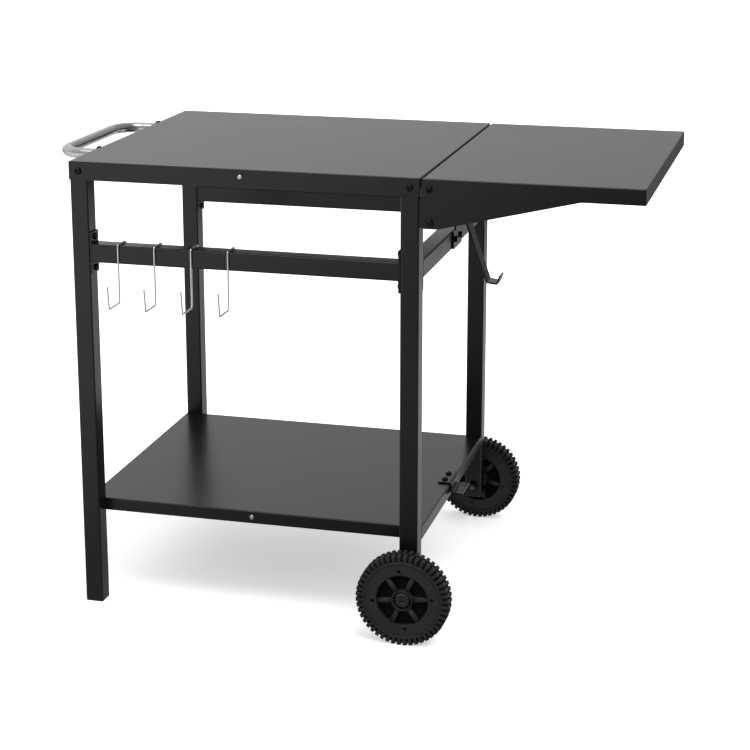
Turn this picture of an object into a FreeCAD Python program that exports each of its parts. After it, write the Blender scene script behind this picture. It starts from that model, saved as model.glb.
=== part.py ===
"""Grill cart: a sheet-steel top on four square legs, a fold-down side table, a lower shelf and two wheels.

Frame: +X towards the side table, +Y towards the back, +Z up, in millimetres.
The origin is on the floor, under the middle of the cart's length and depth.
"""
import FreeCAD, Part
import math
import os

V = FreeCAD.Vector
X = V(1, 0, 0)
Y = V(0, 1, 0)
Z = V(0, 0, 1)

# Tops
TOP_HEIGHT = 750.0
TOP_DEPTH = 540.0
MAIN_LENGTH = 575.0
SEAM_GAP = 3.0
SIDE_LENGTH = 340.0
SIDE_DROP = 0.5
SHEET = 1.5
MAIN_SKIRT = 30.0
SIDE_SKIRT = 25.0
BEND_RADIUS = 2.0
GUSSET_DEPTH = 78.0
GUSSET_FLAT = 23.0
GUSSET_RUN = 243.0
GUSSET_CORNER = 4.0
SEAM_FLANGE = 20.0
SEAM_FLANGE_END = 7.0

# Legs
TUBE = 30.0
TUBE_WALL = 1.5
TUBE_CORNER = 2.5
WHEEL_LEG_DROP = 17.0
PLUG_HEAD = 3.0
PLUG_STEM = 20.0
PLUG_AXLE_GAP = 3.0
PLUG_FIT = 0.1

# Rails with welded end plates
RAIL_DROP = 134.0
RAIL_HEIGHT = 30.0
RAIL_DEPTH = 30.0
PLATE_THICKNESS = 3.0
PLATE_HEIGHT = 68.0
PLATE_BOLT_SPACING = 51.0

# Lower shelf
SHELF_TOP = 175.0
SHELF_SKIRT = 21.0
SHELF_SHEET = 1.5

# Stiffening channels under the top and the shelf
CHANNEL_WIDTH = 40.0
CHANNEL_WALL = 1.5
TOP_CHANNEL_DEPTH = 25.0
SHELF_CHANNEL_DEPTH = 17.0
TOP_CHANNEL_SCREW_DROP = 12.0
SHELF_CHANNEL_SCREW_DROP = 10.0

# Handle
HANDLE_REACH = 82.0
HANDLE_TUBE = 18.0
HANDLE_WALL = 1.2
HANDLE_ARM_SPACING = 272.0
HANDLE_BEND = 42.0
HANDLE_DROP = 12.0
HANDLE_FLANGE = 30.0
HANDLE_FLANGE_THICKNESS = 5.0
HANDLE_INSERT_LENGTH = 22.0
HANDLE_SCREW_LENGTH = 18.0

# Fold of the side table
PIVOT_FROM_EDGE = 11.0
PIVOT_FROM_TOP = 69.0
PIVOT_HEAD = 14.0
LOCK_ABOVE_PIVOT = 53.0
BRACKET_THICKNESS = 3.0
BRACKET_REACH = 29.0
BRACKET_BOTTOM_MARGIN = 8.0
BRACKET_TOP_MARGIN = 9.0
BRACKET_CORNER = 7.0
BRACKET_SKIRT_GAP = 3.0
BRACKET_BOLT_SPACING = 26.0

# Wheels
WHEEL_DIAMETER = 152.0
WHEEL_WIDTH = 30.0
WHEEL_GAP = 13.0
WHEEL_TURN = {"front": -6.0, "back": 13.0}
TYRE_BORE = 122.0
LUG_COUNT = 48
LUG_SHARE = 0.62
LUG_HEIGHT = 4.0
LUG_GROOVE = 3.0
SIDE_RIB_HEIGHT = 1.2
RING_INNER = 85.0
RING_INSET = 1.5
RING_HOLE = 6.0
RING_HOLE_COUNT = 4
RING_HOLE_CIRCLE = 97.0
SPOKE_COUNT = 6
SPOKE_WIDTH = 8.0
SPOKE_ROUND = 2.3
SPOKE_INSET = 3.0
WEB_INSET = 13.0
WEB_THICKNESS = 4.0
HUB_DIAMETER = 34.0
HUB_RECESS_DIAMETER = 30.0
HUB_RECESS_DEPTH = 8.0
AXLE_DIAMETER = 10.0
AXLE_HEAD = 26.0
AXLE_HEAD_HEIGHT = 5.0
AXLE_SOCKET = 8.0
AXLE_SOCKET_DEPTH = 3.0
AXLE_NUT = 16.0
AXLE_NUT_HEIGHT = 9.0
SPACER_DIAMETER = 18.0

# Wire hooks on the front rail
HOOK_COUNT = 4
HOOK_WIRE = 3.0
HOOK_FIRST = 80.5
HOOK_PITCH = 61.5
HOOK_BACK_DROP = 12.0
HOOK_LENGTH = 95.0
HOOK_THROAT = 44.0
HOOK_TIP = 38.0
HOOK_TIP_LEAN = 5.0

# Gas-bottle hook on the side rail
TANK_STRIP = 30.0
TANK_THICKNESS = 3.0
TANK_PLATE = 62.0
TANK_BEND = 3.5
TANK_RISE = 38.0
TANK_FOLD_OUT = 10.0
TANK_SLOPE_OUT = 44.0
TANK_SLOPE_DROP = 124.5
TANK_FLOOR = 18.0
TANK_FLOOR_DROP = 2.0
TANK_LIP_OUT = 4.0
TANK_LIP_RISE = 14.0
TANK_BOLT_SPACING = 36.0

# Gas-bottle stop on the shelf
STOP_WIDTH = 58.0
STOP_THICKNESS = 3.0
STOP_SEAT = 21.0
STOP_DROP = 18.0
STOP_REACH = 20.0
STOP_BOLT_SPACING = 29.0
STOP_BOLT_FROM_EDGE = 12.0

# Fasteners
BOLT = 6.0
BOLT_HEAD = 11.0
BOLT_HEAD_HEIGHT = 4.0
BOLT_LENGTH = 12.0
NUT = 10.0
NUT_HEIGHT = 5.0
THREAD_FIT = 0.05
HOLE_CLEARANCE = 0.25
RIVET_NUT_SHANK = 9.0
RIVET_NUT_COLLAR = 11.0
RIVET_NUT_COLLAR_LENGTH = 6.0
CORNER_SCREW_HEAD = 12.0
CORNER_SCREW_DROP = 15.5
SMALL_SCREW = 4.0
SMALL_SCREW_HEAD = 8.0
SMALL_SCREW_HEAD_HEIGHT = 2.6
SMALL_SCREW_LENGTH = 10.0
SMALL_NUT = 7.0
SMALL_NUT_HEIGHT = 3.2
DOME_SHARE = 0.7
CROSS_WIDTH_SHARE = 0.16
CROSS_LENGTH_SHARE = 0.6
CROSS_DEPTH_SHARE = 0.5

# Running clearances
FLAT_CLEARANCE = 0.3
PIVOT_CLEARANCE = 0.1
AXLE_CLEARANCE = 0.1
HOOK_CLEARANCE = 0.3

# Planes and centres that several pieces share
OVERALL_LENGTH = HANDLE_REACH + MAIN_LENGTH + SEAM_GAP + SIDE_LENGTH
MAIN_LEFT = HANDLE_REACH - OVERALL_LENGTH / 2
MAIN_RIGHT = MAIN_LEFT + MAIN_LENGTH
MAIN_MIDDLE = (MAIN_LEFT + MAIN_RIGHT) / 2
SIDE_LEFT = MAIN_RIGHT + SEAM_GAP
SIDE_RIGHT = SIDE_LEFT + SIDE_LENGTH
SIDE_TOP = TOP_HEIGHT - SIDE_DROP
FRONT = -TOP_DEPTH / 2
LEG_FACE = TOP_DEPTH / 2 - SHEET
LEG_INNER = LEG_FACE - TUBE
LEG_Y = LEG_FACE - TUBE / 2
LEG_LEFT_FACE = MAIN_LEFT + SHEET
LEG_RIGHT_FACE = MAIN_RIGHT - SHEET
LEG_LEFT_X = LEG_LEFT_FACE + TUBE / 2
LEG_RIGHT_X = LEG_RIGHT_FACE - TUBE / 2
LEG_TOP = TOP_HEIGHT - SHEET
AXLE_Z = WHEEL_DIAMETER / 2
WHEEL_LEG_BOTTOM = AXLE_Z - WHEEL_LEG_DROP
RAIL_TOP = TOP_HEIGHT - RAIL_DROP
RAIL_Z = RAIL_TOP - RAIL_HEIGHT / 2
PLATE_BOLT_HEIGHTS = (RAIL_Z - PLATE_BOLT_SPACING / 2, RAIL_Z + PLATE_BOLT_SPACING / 2)
SHELF_BOLT_Z = SHELF_TOP - (SHELF_SKIRT + SHELF_SHEET) / 2
PIVOT_X = SIDE_LEFT + PIVOT_FROM_EDGE
PIVOT_Z = SIDE_TOP - PIVOT_FROM_TOP
LOCK_Z = PIVOT_Z + LOCK_ABOVE_PIVOT
EAR_OUTER = LEG_FACE - FLAT_CLEARANCE
EAR_INNER = EAR_OUTER - BRACKET_THICKNESS
BRACKET_BOTTOM = PIVOT_Z - BRACKET_BOTTOM_MARGIN
BRACKET_TOP = LOCK_Z + BRACKET_TOP_MARGIN
BRACKET_SHOULDER = TOP_HEIGHT - MAIN_SKIRT - BRACKET_SKIRT_GAP
BRACKET_BOLT_Z = (BRACKET_BOTTOM + BRACKET_SHOULDER) / 2
BRACKET_BOLT_HEIGHTS = (BRACKET_BOLT_Z - BRACKET_BOLT_SPACING / 2, BRACKET_BOLT_Z + BRACKET_BOLT_SPACING / 2)
WHEEL_INNER_FACE = LEG_FACE + WHEEL_GAP
WHEEL_OUTER_FACE = WHEEL_INNER_FACE + WHEEL_WIDTH
HANDLE_Z = TOP_HEIGHT - HANDLE_DROP
CORNER_SCREW_Z = TOP_HEIGHT - CORNER_SCREW_DROP
TOP_CHANNEL_SCREW_Z = TOP_HEIGHT - TOP_CHANNEL_SCREW_DROP
SHELF_CHANNEL_SCREW_Z = SHELF_TOP - SHELF_CHANNEL_SCREW_DROP
STOP_BOLT_X = LEG_RIGHT_FACE - STOP_BOLT_FROM_EDGE
STOP_BEND = BEND_RADIUS + STOP_THICKNESS / 2
HOOK_OFFSET = HOOK_CLEARANCE + HOOK_WIRE / 2
HOOK_BEND = TUBE_CORNER + HOOK_OFFSET
END_PLUG_STEM = WHEEL_LEG_DROP - AXLE_DIAMETER / 2 - PLUG_AXLE_GAP
SIDES = {"front": -1, "back": 1}


def save(shape, node):
    """Writes one sub-part."""
    shape.exportStep("parts/" + node + ".step")


def box(x0, x1, y0, y1, z0, z1):
    """A block between two corners."""
    low = V(min(x0, x1), min(y0, y1), min(z0, z1))
    return Part.makeBox(abs(x1 - x0), abs(y1 - y0), abs(z1 - z0), low)


def rod(diameter, start, direction, length):
    """A round bar from a point along a direction."""
    return Part.makeCylinder(diameter / 2, length, start, direction)


def ring(outer, bore, start, direction, length):
    """A round tube from a point along a direction."""
    return rod(outer, start, direction, length).cut(rod(bore, start, direction, length))


def edges_along(shape, axis):
    """The straight edges of a shape that run along an axis."""
    found = []
    for edge in shape.Edges:
        if len(edge.Vertexes) == 2 and edge.Curve.TypeId == "Part::GeomLine":
            run = edge.Vertexes[1].Point - edge.Vertexes[0].Point
            if abs(abs(run.normalize().dot(axis)) - 1) < 1e-6:
                found.append(edge)
    return found


def square_tube(low, high, axis, wall):
    """A square or oblong tube with rounded corners, its length along one axis."""
    outer = box(low.x, high.x, low.y, high.y, low.z, high.z)
    outer = outer.makeFillet(TUBE_CORNER, edges_along(outer, axis))
    inset = (V(1, 1, 1) - axis) * wall
    a = low + inset
    b = high - inset
    inner = box(a.x, b.x, a.y, b.y, a.z, b.z)
    inner = inner.makeFillet(TUBE_CORNER - wall, edges_along(inner, axis))
    return outer.cut(inner)


def polygon_plate(points, direction):
    """A flat plate from an outline and the vector that gives it its thickness."""
    return Part.Face(Part.makePolygon(points + points[:1])).extrude(direction)


def rounded_path(points, radius):
    """Straight runs through the points, with an arc of one radius at each inner point."""
    edges = []
    start = points[0]
    for before, corner, after in zip(points, points[1:], points[2:]):
        back = (before - corner).normalize()
        on = (after - corner).normalize()
        half = back.getAngle(on) / 2
        trim = radius / math.tan(half)
        middle = corner + (back + on).normalize() * (radius / math.sin(half) - radius)
        edges.append(Part.LineSegment(start, corner + back * trim).toShape())
        edges.append(Part.Arc(corner + back * trim, middle, corner + on * trim).toShape())
        start = corner + on * trim
    edges.append(Part.LineSegment(start, points[-1]).toShape())
    return Part.Wire(edges)


def round_bar(points, radius, diameter):
    """A round bar bent along a path."""
    path = rounded_path(points, radius)
    section = Part.Wire(Part.makeCircle(diameter / 2, points[0], points[1] - points[0]))
    return path.makePipeShell([section], True, False)


def bent_strip(points, radius, thickness, width):
    """A flat strip bent in the XZ plane, centred on Y = 0. The path is its middle surface."""
    path = rounded_path(points, radius)
    side = (points[1] - points[0]).normalize().cross(Y) * (thickness / 2)
    across = Y * (width / 2)
    start = points[0]
    corners = [start + side + across, start + side - across, start - side - across, start - side + across]
    section = Part.makePolygon(corners + corners[:1])
    return path.makePipeShell([section], True, False)


def hexagon(across_flats, start, direction, length):
    """A six-sided bar from a point along a direction."""
    side = X if abs(direction.dot(X)) < 0.5 else Z
    corner = side * (across_flats / 2 / math.cos(math.pi / 6))
    turn = [FreeCAD.Rotation(direction, 60 * k).multVec(corner) + start for k in range(6)]
    return polygon_plate(turn, direction * length)


def nut(across_flats, height, thread, seat, direction):
    """A hexagon nut standing on its seat."""
    blank = hexagon(across_flats, seat, direction, height)
    return blank.cut(rod(thread + 2 * THREAD_FIT, seat, direction, height))


def dome_bolt(seat, inward, length, thread=BOLT, head=BOLT_HEAD, head_height=BOLT_HEAD_HEIGHT):
    """A bolt with a rounded head. The head stands on the seat and the shank runs inward."""
    cap = rod(head, seat, -inward, head_height)
    top = [edge for edge in cap.Edges if (edge.CenterOfMass - seat).dot(-inward) > head_height - 1e-3]
    cap = cap.makeFillet(head_height * DOME_SHARE, [e for e in top if e.Curve.TypeId == "Part::GeomCircle"])
    return cap.fuse(rod(thread, seat, inward, length))


def cross_screw(seat, inward, length, thread, head, head_height):
    """A pan-head screw with a cross recess."""
    screw = dome_bolt(seat, inward, length, thread, head, head_height)
    crown = seat - inward * head_height
    side = X if abs(inward.dot(X)) < 0.5 else Y
    up = inward.cross(side)
    deep = inward * (head_height * CROSS_DEPTH_SHARE)
    for along, over in ((side, up), (up, side)):
        a = along * (head * CROSS_LENGTH_SHARE / 2)
        b = over * (head * CROSS_WIDTH_SHARE / 2)
        screw = screw.cut(polygon_plate([crown + a + b, crown - a + b, crown - a - b, crown + a - b], deep))
    return screw


def hex_bolt(seat, inward, length, thread, across_flats, head_height):
    """A bolt with a hexagon head."""
    return hexagon(across_flats, seat, -inward, head_height).fuse(rod(thread, seat, inward, length))


def rivet_nut(face, inward):
    """A threaded rivet nut set in a leg's wall: a shank in the wall and a collar behind it."""
    shank = rod(RIVET_NUT_SHANK, face, inward, TUBE_WALL)
    collar = rod(RIVET_NUT_COLLAR, face + inward * TUBE_WALL, inward, RIVET_NUT_COLLAR_LENGTH)
    bore = rod(BOLT + 2 * THREAD_FIT, face, inward, TUBE_WALL + RIVET_NUT_COLLAR_LENGTH)
    return shank.fuse(collar).cut(bore)


def pan(x0, x1, y0, y1, top, skirt, sheet):
    """A shallow tray turned upside down: a flat sheet with a folded skirt all round."""
    outer = box(x0, x1, y0, y1, top - skirt, top)
    rims = [e for e in outer.Edges if e.BoundBox.ZMin > top - 1e-6 or e.BoundBox.ZLength > skirt - 1e-6]
    outer = outer.makeFillet(BEND_RADIUS, rims)
    return outer.cut(box(x0 + sheet, x1 - sheet, y0 + sheet, y1 - sheet, top - skirt, top - sheet))


def leg_fixings(leg_x, side):
    """Where rivet nuts sit in one leg: a point on its face, and the way into the tube."""
    inner_x = X if leg_x < MAIN_MIDDLE else -X
    face_x = leg_x + inner_x.x * TUBE / 2
    seats = [(V(leg_x, side * LEG_FACE, CORNER_SCREW_Z), Y * -side)]
    seats.append((V(leg_x, side * LEG_INNER, SHELF_BOLT_Z), Y * side))
    for height in PLATE_BOLT_HEIGHTS:
        seats.append((V(face_x, side * LEG_Y, height), -inner_x))
    if leg_x > MAIN_MIDDLE:
        for height in PLATE_BOLT_HEIGHTS:
            seats.append((V(leg_x, side * LEG_INNER, height), Y * side))
        for height in BRACKET_BOLT_HEIGHTS:
            seats.append((V(LEG_RIGHT_FACE, side * LEG_Y, height), -X))
    return seats


def make_leg(leg_x, side, bottom):
    """A square leg tube with its holes."""
    low = V(leg_x - TUBE / 2, side * LEG_Y - TUBE / 2, bottom)
    high = V(leg_x + TUBE / 2, side * LEG_Y + TUBE / 2, LEG_TOP)
    leg = square_tube(low, high, Z, TUBE_WALL)
    holes = []
    for face, inward in leg_fixings(leg_x, side):
        holes.append(rod(RIVET_NUT_SHANK + 2 * THREAD_FIT, face, inward, TUBE_WALL))
    if leg_x > MAIN_MIDDLE:
        axle = V(leg_x, side * LEG_Y - TUBE / 2, AXLE_Z)
        holes.append(rod(AXLE_DIAMETER + 2 * HOLE_CLEARANCE, axle, Y, TUBE))
    return leg.cut(Part.makeCompound(holes))


def make_plug(leg_x, side, bottom, stem_length):
    """A plastic plug in a leg's lower end, with a head as wide as the tube."""
    y = side * LEG_Y
    half = TUBE / 2
    head = box(leg_x - half, leg_x + half, y - half, y + half, bottom - PLUG_HEAD, bottom)
    head = head.makeFillet(TUBE_CORNER, edges_along(head, Z))
    half = TUBE / 2 - TUBE_WALL - PLUG_FIT
    stem = box(leg_x - half, leg_x + half, y - half, y + half, bottom, bottom + stem_length)
    stem = stem.makeFillet(TUBE_CORNER - TUBE_WALL, edges_along(stem, Z))
    return head.fuse(stem)


def plate_holes(shape, seats, diameter, inward, depth):
    """Drills one size of hole at each seat."""
    return shape.cut(Part.makeCompound([rod(diameter, seat, inward, depth) for seat in seats]))


def make_long_rail(side):
    """The front or back rail, between two legs, with a plate welded on each end."""
    left = LEG_LEFT_FACE + TUBE
    right = LEG_RIGHT_FACE - TUBE
    y = side * LEG_Y
    low = V(left + PLATE_THICKNESS, y - RAIL_DEPTH / 2, RAIL_TOP - RAIL_HEIGHT)
    high = V(right - PLATE_THICKNESS, y + RAIL_DEPTH / 2, RAIL_TOP)
    rail = square_tube(low, high, X, TUBE_WALL)
    for start, inward in ((left, X), (right, -X)):
        plate = box(start, start + inward.x * PLATE_THICKNESS, y - TUBE / 2, y + TUBE / 2,
                    RAIL_Z - PLATE_HEIGHT / 2, RAIL_Z + PLATE_HEIGHT / 2)
        seats = [V(start, y, height) for height in PLATE_BOLT_HEIGHTS]
        plate = plate_holes(plate, seats, BOLT + 2 * HOLE_CLEARANCE, inward, PLATE_THICKNESS)
        rail = rail.fuse(plate)
    return rail


def make_side_rail():
    """The rail between the two wheel legs, drilled for the gas-bottle hook."""
    low = V(LEG_RIGHT_X - RAIL_DEPTH / 2, -LEG_INNER + PLATE_THICKNESS, RAIL_TOP - RAIL_HEIGHT)
    high = V(LEG_RIGHT_X + RAIL_DEPTH / 2, LEG_INNER - PLATE_THICKNESS, RAIL_TOP)
    rail = square_tube(low, high, Y, TUBE_WALL)
    for side in SIDES.values():
        start = side * LEG_INNER
        plate = box(LEG_RIGHT_X - TUBE / 2, LEG_RIGHT_X + TUBE / 2, start, start - side * PLATE_THICKNESS,
                    RAIL_Z - PLATE_HEIGHT / 2, RAIL_Z + PLATE_HEIGHT / 2)
        seats = [V(LEG_RIGHT_X, start, height) for height in PLATE_BOLT_HEIGHTS]
        plate = plate_holes(plate, seats, BOLT + 2 * HOLE_CLEARANCE, Y * -side, PLATE_THICKNESS)
        rail = rail.fuse(plate)
    return plate_holes(rail, tank_bolt_seats(low.x), BOLT + 2 * HOLE_CLEARANCE, X, RAIL_DEPTH)


def channel_screws(half_depth, height):
    """The seats of a stiffening channel's two screws, on the outside of the skirts."""
    return [(V(MAIN_MIDDLE, side * half_depth, height), Y * -side) for side in SIDES.values()]


def make_channel(half_depth, top, depth, screw_z):
    """A folded channel under a sheet, with closed ends that the skirt screws hold."""
    half = CHANNEL_WIDTH / 2
    wall = CHANNEL_WALL
    outer = box(MAIN_MIDDLE - half, MAIN_MIDDLE + half, -half_depth, half_depth, top - depth, top)
    inner = box(MAIN_MIDDLE - half + wall, MAIN_MIDDLE + half - wall, -half_depth + wall, half_depth - wall,
                top - depth, top - wall)
    seats = [V(MAIN_MIDDLE, -half_depth, screw_z)]
    return plate_holes(outer.cut(inner), seats, SMALL_SCREW + 2 * HOLE_CLEARANCE, Y, 2 * half_depth)


def make_main_top():
    """The main top: a folded pan that wraps the legs, with its screw and handle holes."""
    top = pan(MAIN_LEFT, MAIN_RIGHT, FRONT, -FRONT, TOP_HEIGHT, MAIN_SKIRT, SHEET)
    through = TOP_DEPTH
    corner_seats = [V(x, FRONT, CORNER_SCREW_Z) for x in (LEG_LEFT_X, LEG_RIGHT_X)]
    top = plate_holes(top, corner_seats, BOLT + 2 * HOLE_CLEARANCE, Y, through)
    top = plate_holes(top, [V(MAIN_MIDDLE, FRONT, TOP_CHANNEL_SCREW_Z)], SMALL_SCREW + 2 * HOLE_CLEARANCE,
                      Y, through)
    handle_seats = [V(MAIN_LEFT, side * HANDLE_ARM_SPACING / 2, HANDLE_Z) for side in SIDES.values()]
    return plate_holes(top, handle_seats, BOLT + 2 * HOLE_CLEARANCE, X, SHEET)


def make_shelf():
    """The lower shelf: a folded pan between the front and back legs."""
    shelf = pan(LEG_LEFT_FACE, LEG_RIGHT_FACE, -LEG_INNER, LEG_INNER, SHELF_TOP, SHELF_SKIRT, SHELF_SHEET)
    leg_seats = [V(x, -LEG_INNER, SHELF_BOLT_Z) for x in (LEG_LEFT_X, LEG_RIGHT_X)]
    shelf = plate_holes(shelf, leg_seats, BOLT + 2 * HOLE_CLEARANCE, Y, 2 * LEG_INNER)
    channel_seat = [V(MAIN_MIDDLE, -LEG_INNER, SHELF_CHANNEL_SCREW_Z)]
    shelf = plate_holes(shelf, channel_seat, SMALL_SCREW + 2 * HOLE_CLEARANCE, Y, 2 * LEG_INNER)
    return plate_holes(shelf, stop_bolt_seats(SHELF_TOP), BOLT + 2 * HOLE_CLEARANCE, -Z, SHELF_SHEET)


def make_side_table():
    """The fold-down side table: a sheet, its skirts and the two deep gussets at the hinge end."""
    table = box(SIDE_LEFT, SIDE_RIGHT, FRONT, -FRONT, SIDE_TOP - SIDE_SKIRT, SIDE_TOP)
    table = table.makeFillet(BEND_RADIUS, [e for e in table.Edges
                                           if e.BoundBox.ZMin > SIDE_TOP - 1e-6
                                           or (e.BoundBox.ZLength > 1 and e.BoundBox.XMin > SIDE_RIGHT - 1e-6)])
    table = table.cut(box(SIDE_LEFT, SIDE_RIGHT - SHEET, FRONT + SHEET, -FRONT - SHEET,
                          SIDE_TOP - SIDE_SKIRT, SIDE_TOP - SHEET))
    skirt_bottom = SIDE_TOP - SIDE_SKIRT
    gusset_bottom = SIDE_TOP - GUSSET_DEPTH
    for side in SIDES.values():
        y = side * TOP_DEPTH / 2
        outline = [V(SIDE_LEFT, y, skirt_bottom), V(SIDE_LEFT, y, gusset_bottom),
                   V(SIDE_LEFT + GUSSET_FLAT, y, gusset_bottom), V(SIDE_LEFT + GUSSET_RUN, y, skirt_bottom)]
        gusset = polygon_plate(outline, Y * (-side * SHEET))
        hinge_corner = [e for e in edges_along(gusset, Y) if e.CenterOfMass.x < SIDE_LEFT + 1e-6
                        and e.CenterOfMass.z < gusset_bottom + 1e-6]
        table = table.fuse(gusset.makeFillet(GUSSET_CORNER, hinge_corner))
    flange_end = TOP_DEPTH / 2 - SEAM_FLANGE_END
    table = table.fuse(box(SIDE_LEFT, SIDE_LEFT + SHEET, -flange_end, flange_end,
                           SIDE_TOP - SEAM_FLANGE, SIDE_TOP - SHEET))
    seats = [V(PIVOT_X, FRONT, height) for height in (PIVOT_Z, LOCK_Z)]
    return plate_holes(table.removeSplitter(), seats, BOLT + 2 * PIVOT_CLEARANCE, Y, TOP_DEPTH)


def make_bracket(side):
    """A hinge bracket: a foot on the leg and an ear beside the gusset, with an open arc slot on top."""
    outer = side * EAR_OUTER
    inward = Y * -side
    ear_end = LEG_RIGHT_FACE + BRACKET_REACH
    neck = LEG_RIGHT_FACE + BRACKET_THICKNESS
    outline = [V(LEG_RIGHT_FACE, outer, BRACKET_BOTTOM), V(ear_end, outer, BRACKET_BOTTOM),
               V(ear_end, outer, BRACKET_TOP), V(neck, outer, BRACKET_TOP),
               V(neck, outer, BRACKET_SHOULDER), V(LEG_RIGHT_FACE, outer, BRACKET_SHOULDER)]
    ear = polygon_plate(outline, inward * BRACKET_THICKNESS)
    rounded = [e for e in edges_along(ear, Y) if e.CenterOfMass.x > ear_end - 1e-6]
    ear = ear.makeFillet(BRACKET_CORNER, rounded)
    foot = box(LEG_RIGHT_FACE, neck, outer, side * (LEG_INNER + FLAT_CLEARANCE), BRACKET_BOTTOM, BRACKET_SHOULDER)
    bracket = ear.fuse(foot).removeSplitter()
    slot = BOLT + 2 * FLAT_CLEARANCE
    pivot = V(PIVOT_X, outer, PIVOT_Z)
    sweep = ring(2 * LOCK_ABOVE_PIVOT + slot, 2 * LOCK_ABOVE_PIVOT - slot, pivot, inward, BRACKET_THICKNESS)
    quarter = box(PIVOT_X, PIVOT_X + LOCK_ABOVE_PIVOT + slot, outer, side * EAR_INNER, PIVOT_Z, LOCK_Z + slot)
    bracket = bracket.cut(sweep.common(quarter))
    bracket = bracket.cut(rod(slot, V(PIVOT_X, outer, LOCK_Z), inward, BRACKET_THICKNESS))
    bracket = bracket.cut(rod(BOLT + 2 * PIVOT_CLEARANCE, pivot, inward, BRACKET_THICKNESS))
    seats = [V(LEG_RIGHT_FACE, side * LEG_Y, height) for height in BRACKET_BOLT_HEIGHTS]
    return plate_holes(bracket, seats, BOLT + 2 * HOLE_CLEARANCE, X, BRACKET_THICKNESS)


def make_handle():
    """The bent handle tube."""
    bar_x = MAIN_LEFT - HANDLE_REACH + HANDLE_TUBE / 2
    half = HANDLE_ARM_SPACING / 2
    route = [V(MAIN_LEFT, -half, HANDLE_Z), V(bar_x, -half, HANDLE_Z), V(bar_x, half, HANDLE_Z),
             V(MAIN_LEFT, half, HANDLE_Z)]
    solid = round_bar(route, HANDLE_BEND, HANDLE_TUBE)
    return solid.cut(round_bar(route, HANDLE_BEND, HANDLE_TUBE - 2 * HANDLE_WALL))


def make_tyre(side):
    """A tyre with two staggered rows of lugs that run down its side walls as short ribs."""
    radius = WHEEL_DIAMETER / 2
    bore = TYRE_BORE / 2
    inner = side * WHEEL_INNER_FACE
    out = Y * side
    carcass_width = WHEEL_WIDTH - 2 * SIDE_RIB_HEIGHT
    tyre = ring(2 * (radius - LUG_HEIGHT), TYRE_BORE, V(LEG_RIGHT_X, inner + side * SIDE_RIB_HEIGHT, AXLE_Z),
                out, carcass_width)
    row_width = (WHEEL_WIDTH - LUG_GROOVE) / 2
    pitch = 2 * math.pi / LUG_COUNT
    root = bore + SIDE_RIB_HEIGHT
    for row, start in enumerate((inner, inner + side * (WHEEL_WIDTH - row_width))):
        outline = []
        for k in range(LUG_COUNT):
            first = (k + row / 2) * pitch
            last = first + LUG_SHARE * pitch
            for r, angle in ((root, first), (radius, first), (radius, last), (root, last)):
                outline.append(V(LEG_RIGHT_X + r * math.cos(angle), start, AXLE_Z + r * math.sin(angle)))
        lugs = polygon_plate(outline, out * row_width)
        tyre = tyre.fuse(lugs.cut(rod(TYRE_BORE, V(LEG_RIGHT_X, start, AXLE_Z), out, row_width)))
    return tyre


def make_rim(side, turn):
    """A moulded wheel body: outer ring, thin web, rounded spokes and hub, turned about its axle."""
    out = Y * side
    inner = side * WHEEL_INNER_FACE
    outer = side * WHEEL_OUTER_FACE
    centre = V(LEG_RIGHT_X, 0, AXLE_Z)
    ring_start = centre + Y * (inner + side * RING_INSET)
    rim = ring(TYRE_BORE - 2 * THREAD_FIT, RING_INNER, ring_start, out, WHEEL_WIDTH - 2 * RING_INSET)
    web_start = centre + Y * (inner + side * WEB_INSET)
    web = rod((TYRE_BORE + RING_INNER) / 2, web_start, out, WEB_THICKNESS)
    hub = rod(HUB_DIAMETER, centre + Y * inner, out, WHEEL_WIDTH)
    pieces = [web, hub]
    for k in range(SPOKE_COUNT):
        spoke = box(0, (TYRE_BORE + RING_INNER) / 4, inner + side * SPOKE_INSET, outer - side * SPOKE_INSET,
                    -SPOKE_WIDTH / 2, SPOKE_WIDTH / 2)
        spoke = spoke.makeFillet(SPOKE_ROUND, edges_along(spoke, X))
        spoke.rotate(V(), Y, turn + 360 / SPOKE_COUNT * k)
        spoke.translate(centre)
        pieces.append(spoke)
    rim = rim.fuse(pieces)
    recess_start = centre + Y * (outer - side * HUB_RECESS_DEPTH)
    cuts = [rod(HUB_RECESS_DIAMETER, recess_start, out, HUB_RECESS_DEPTH),
            rod(AXLE_DIAMETER + 2 * AXLE_CLEARANCE, centre + Y * inner, out, WHEEL_WIDTH)]
    for k in range(RING_HOLE_COUNT):
        spot = FreeCAD.Rotation(Y, turn + 360 / RING_HOLE_COUNT * k).multVec(X * (RING_HOLE_CIRCLE / 2))
        cuts.append(rod(RING_HOLE, centre + Y * inner + spot, out, WHEEL_WIDTH))
    return rim.cut(Part.makeCompound(cuts)).removeSplitter()


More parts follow.
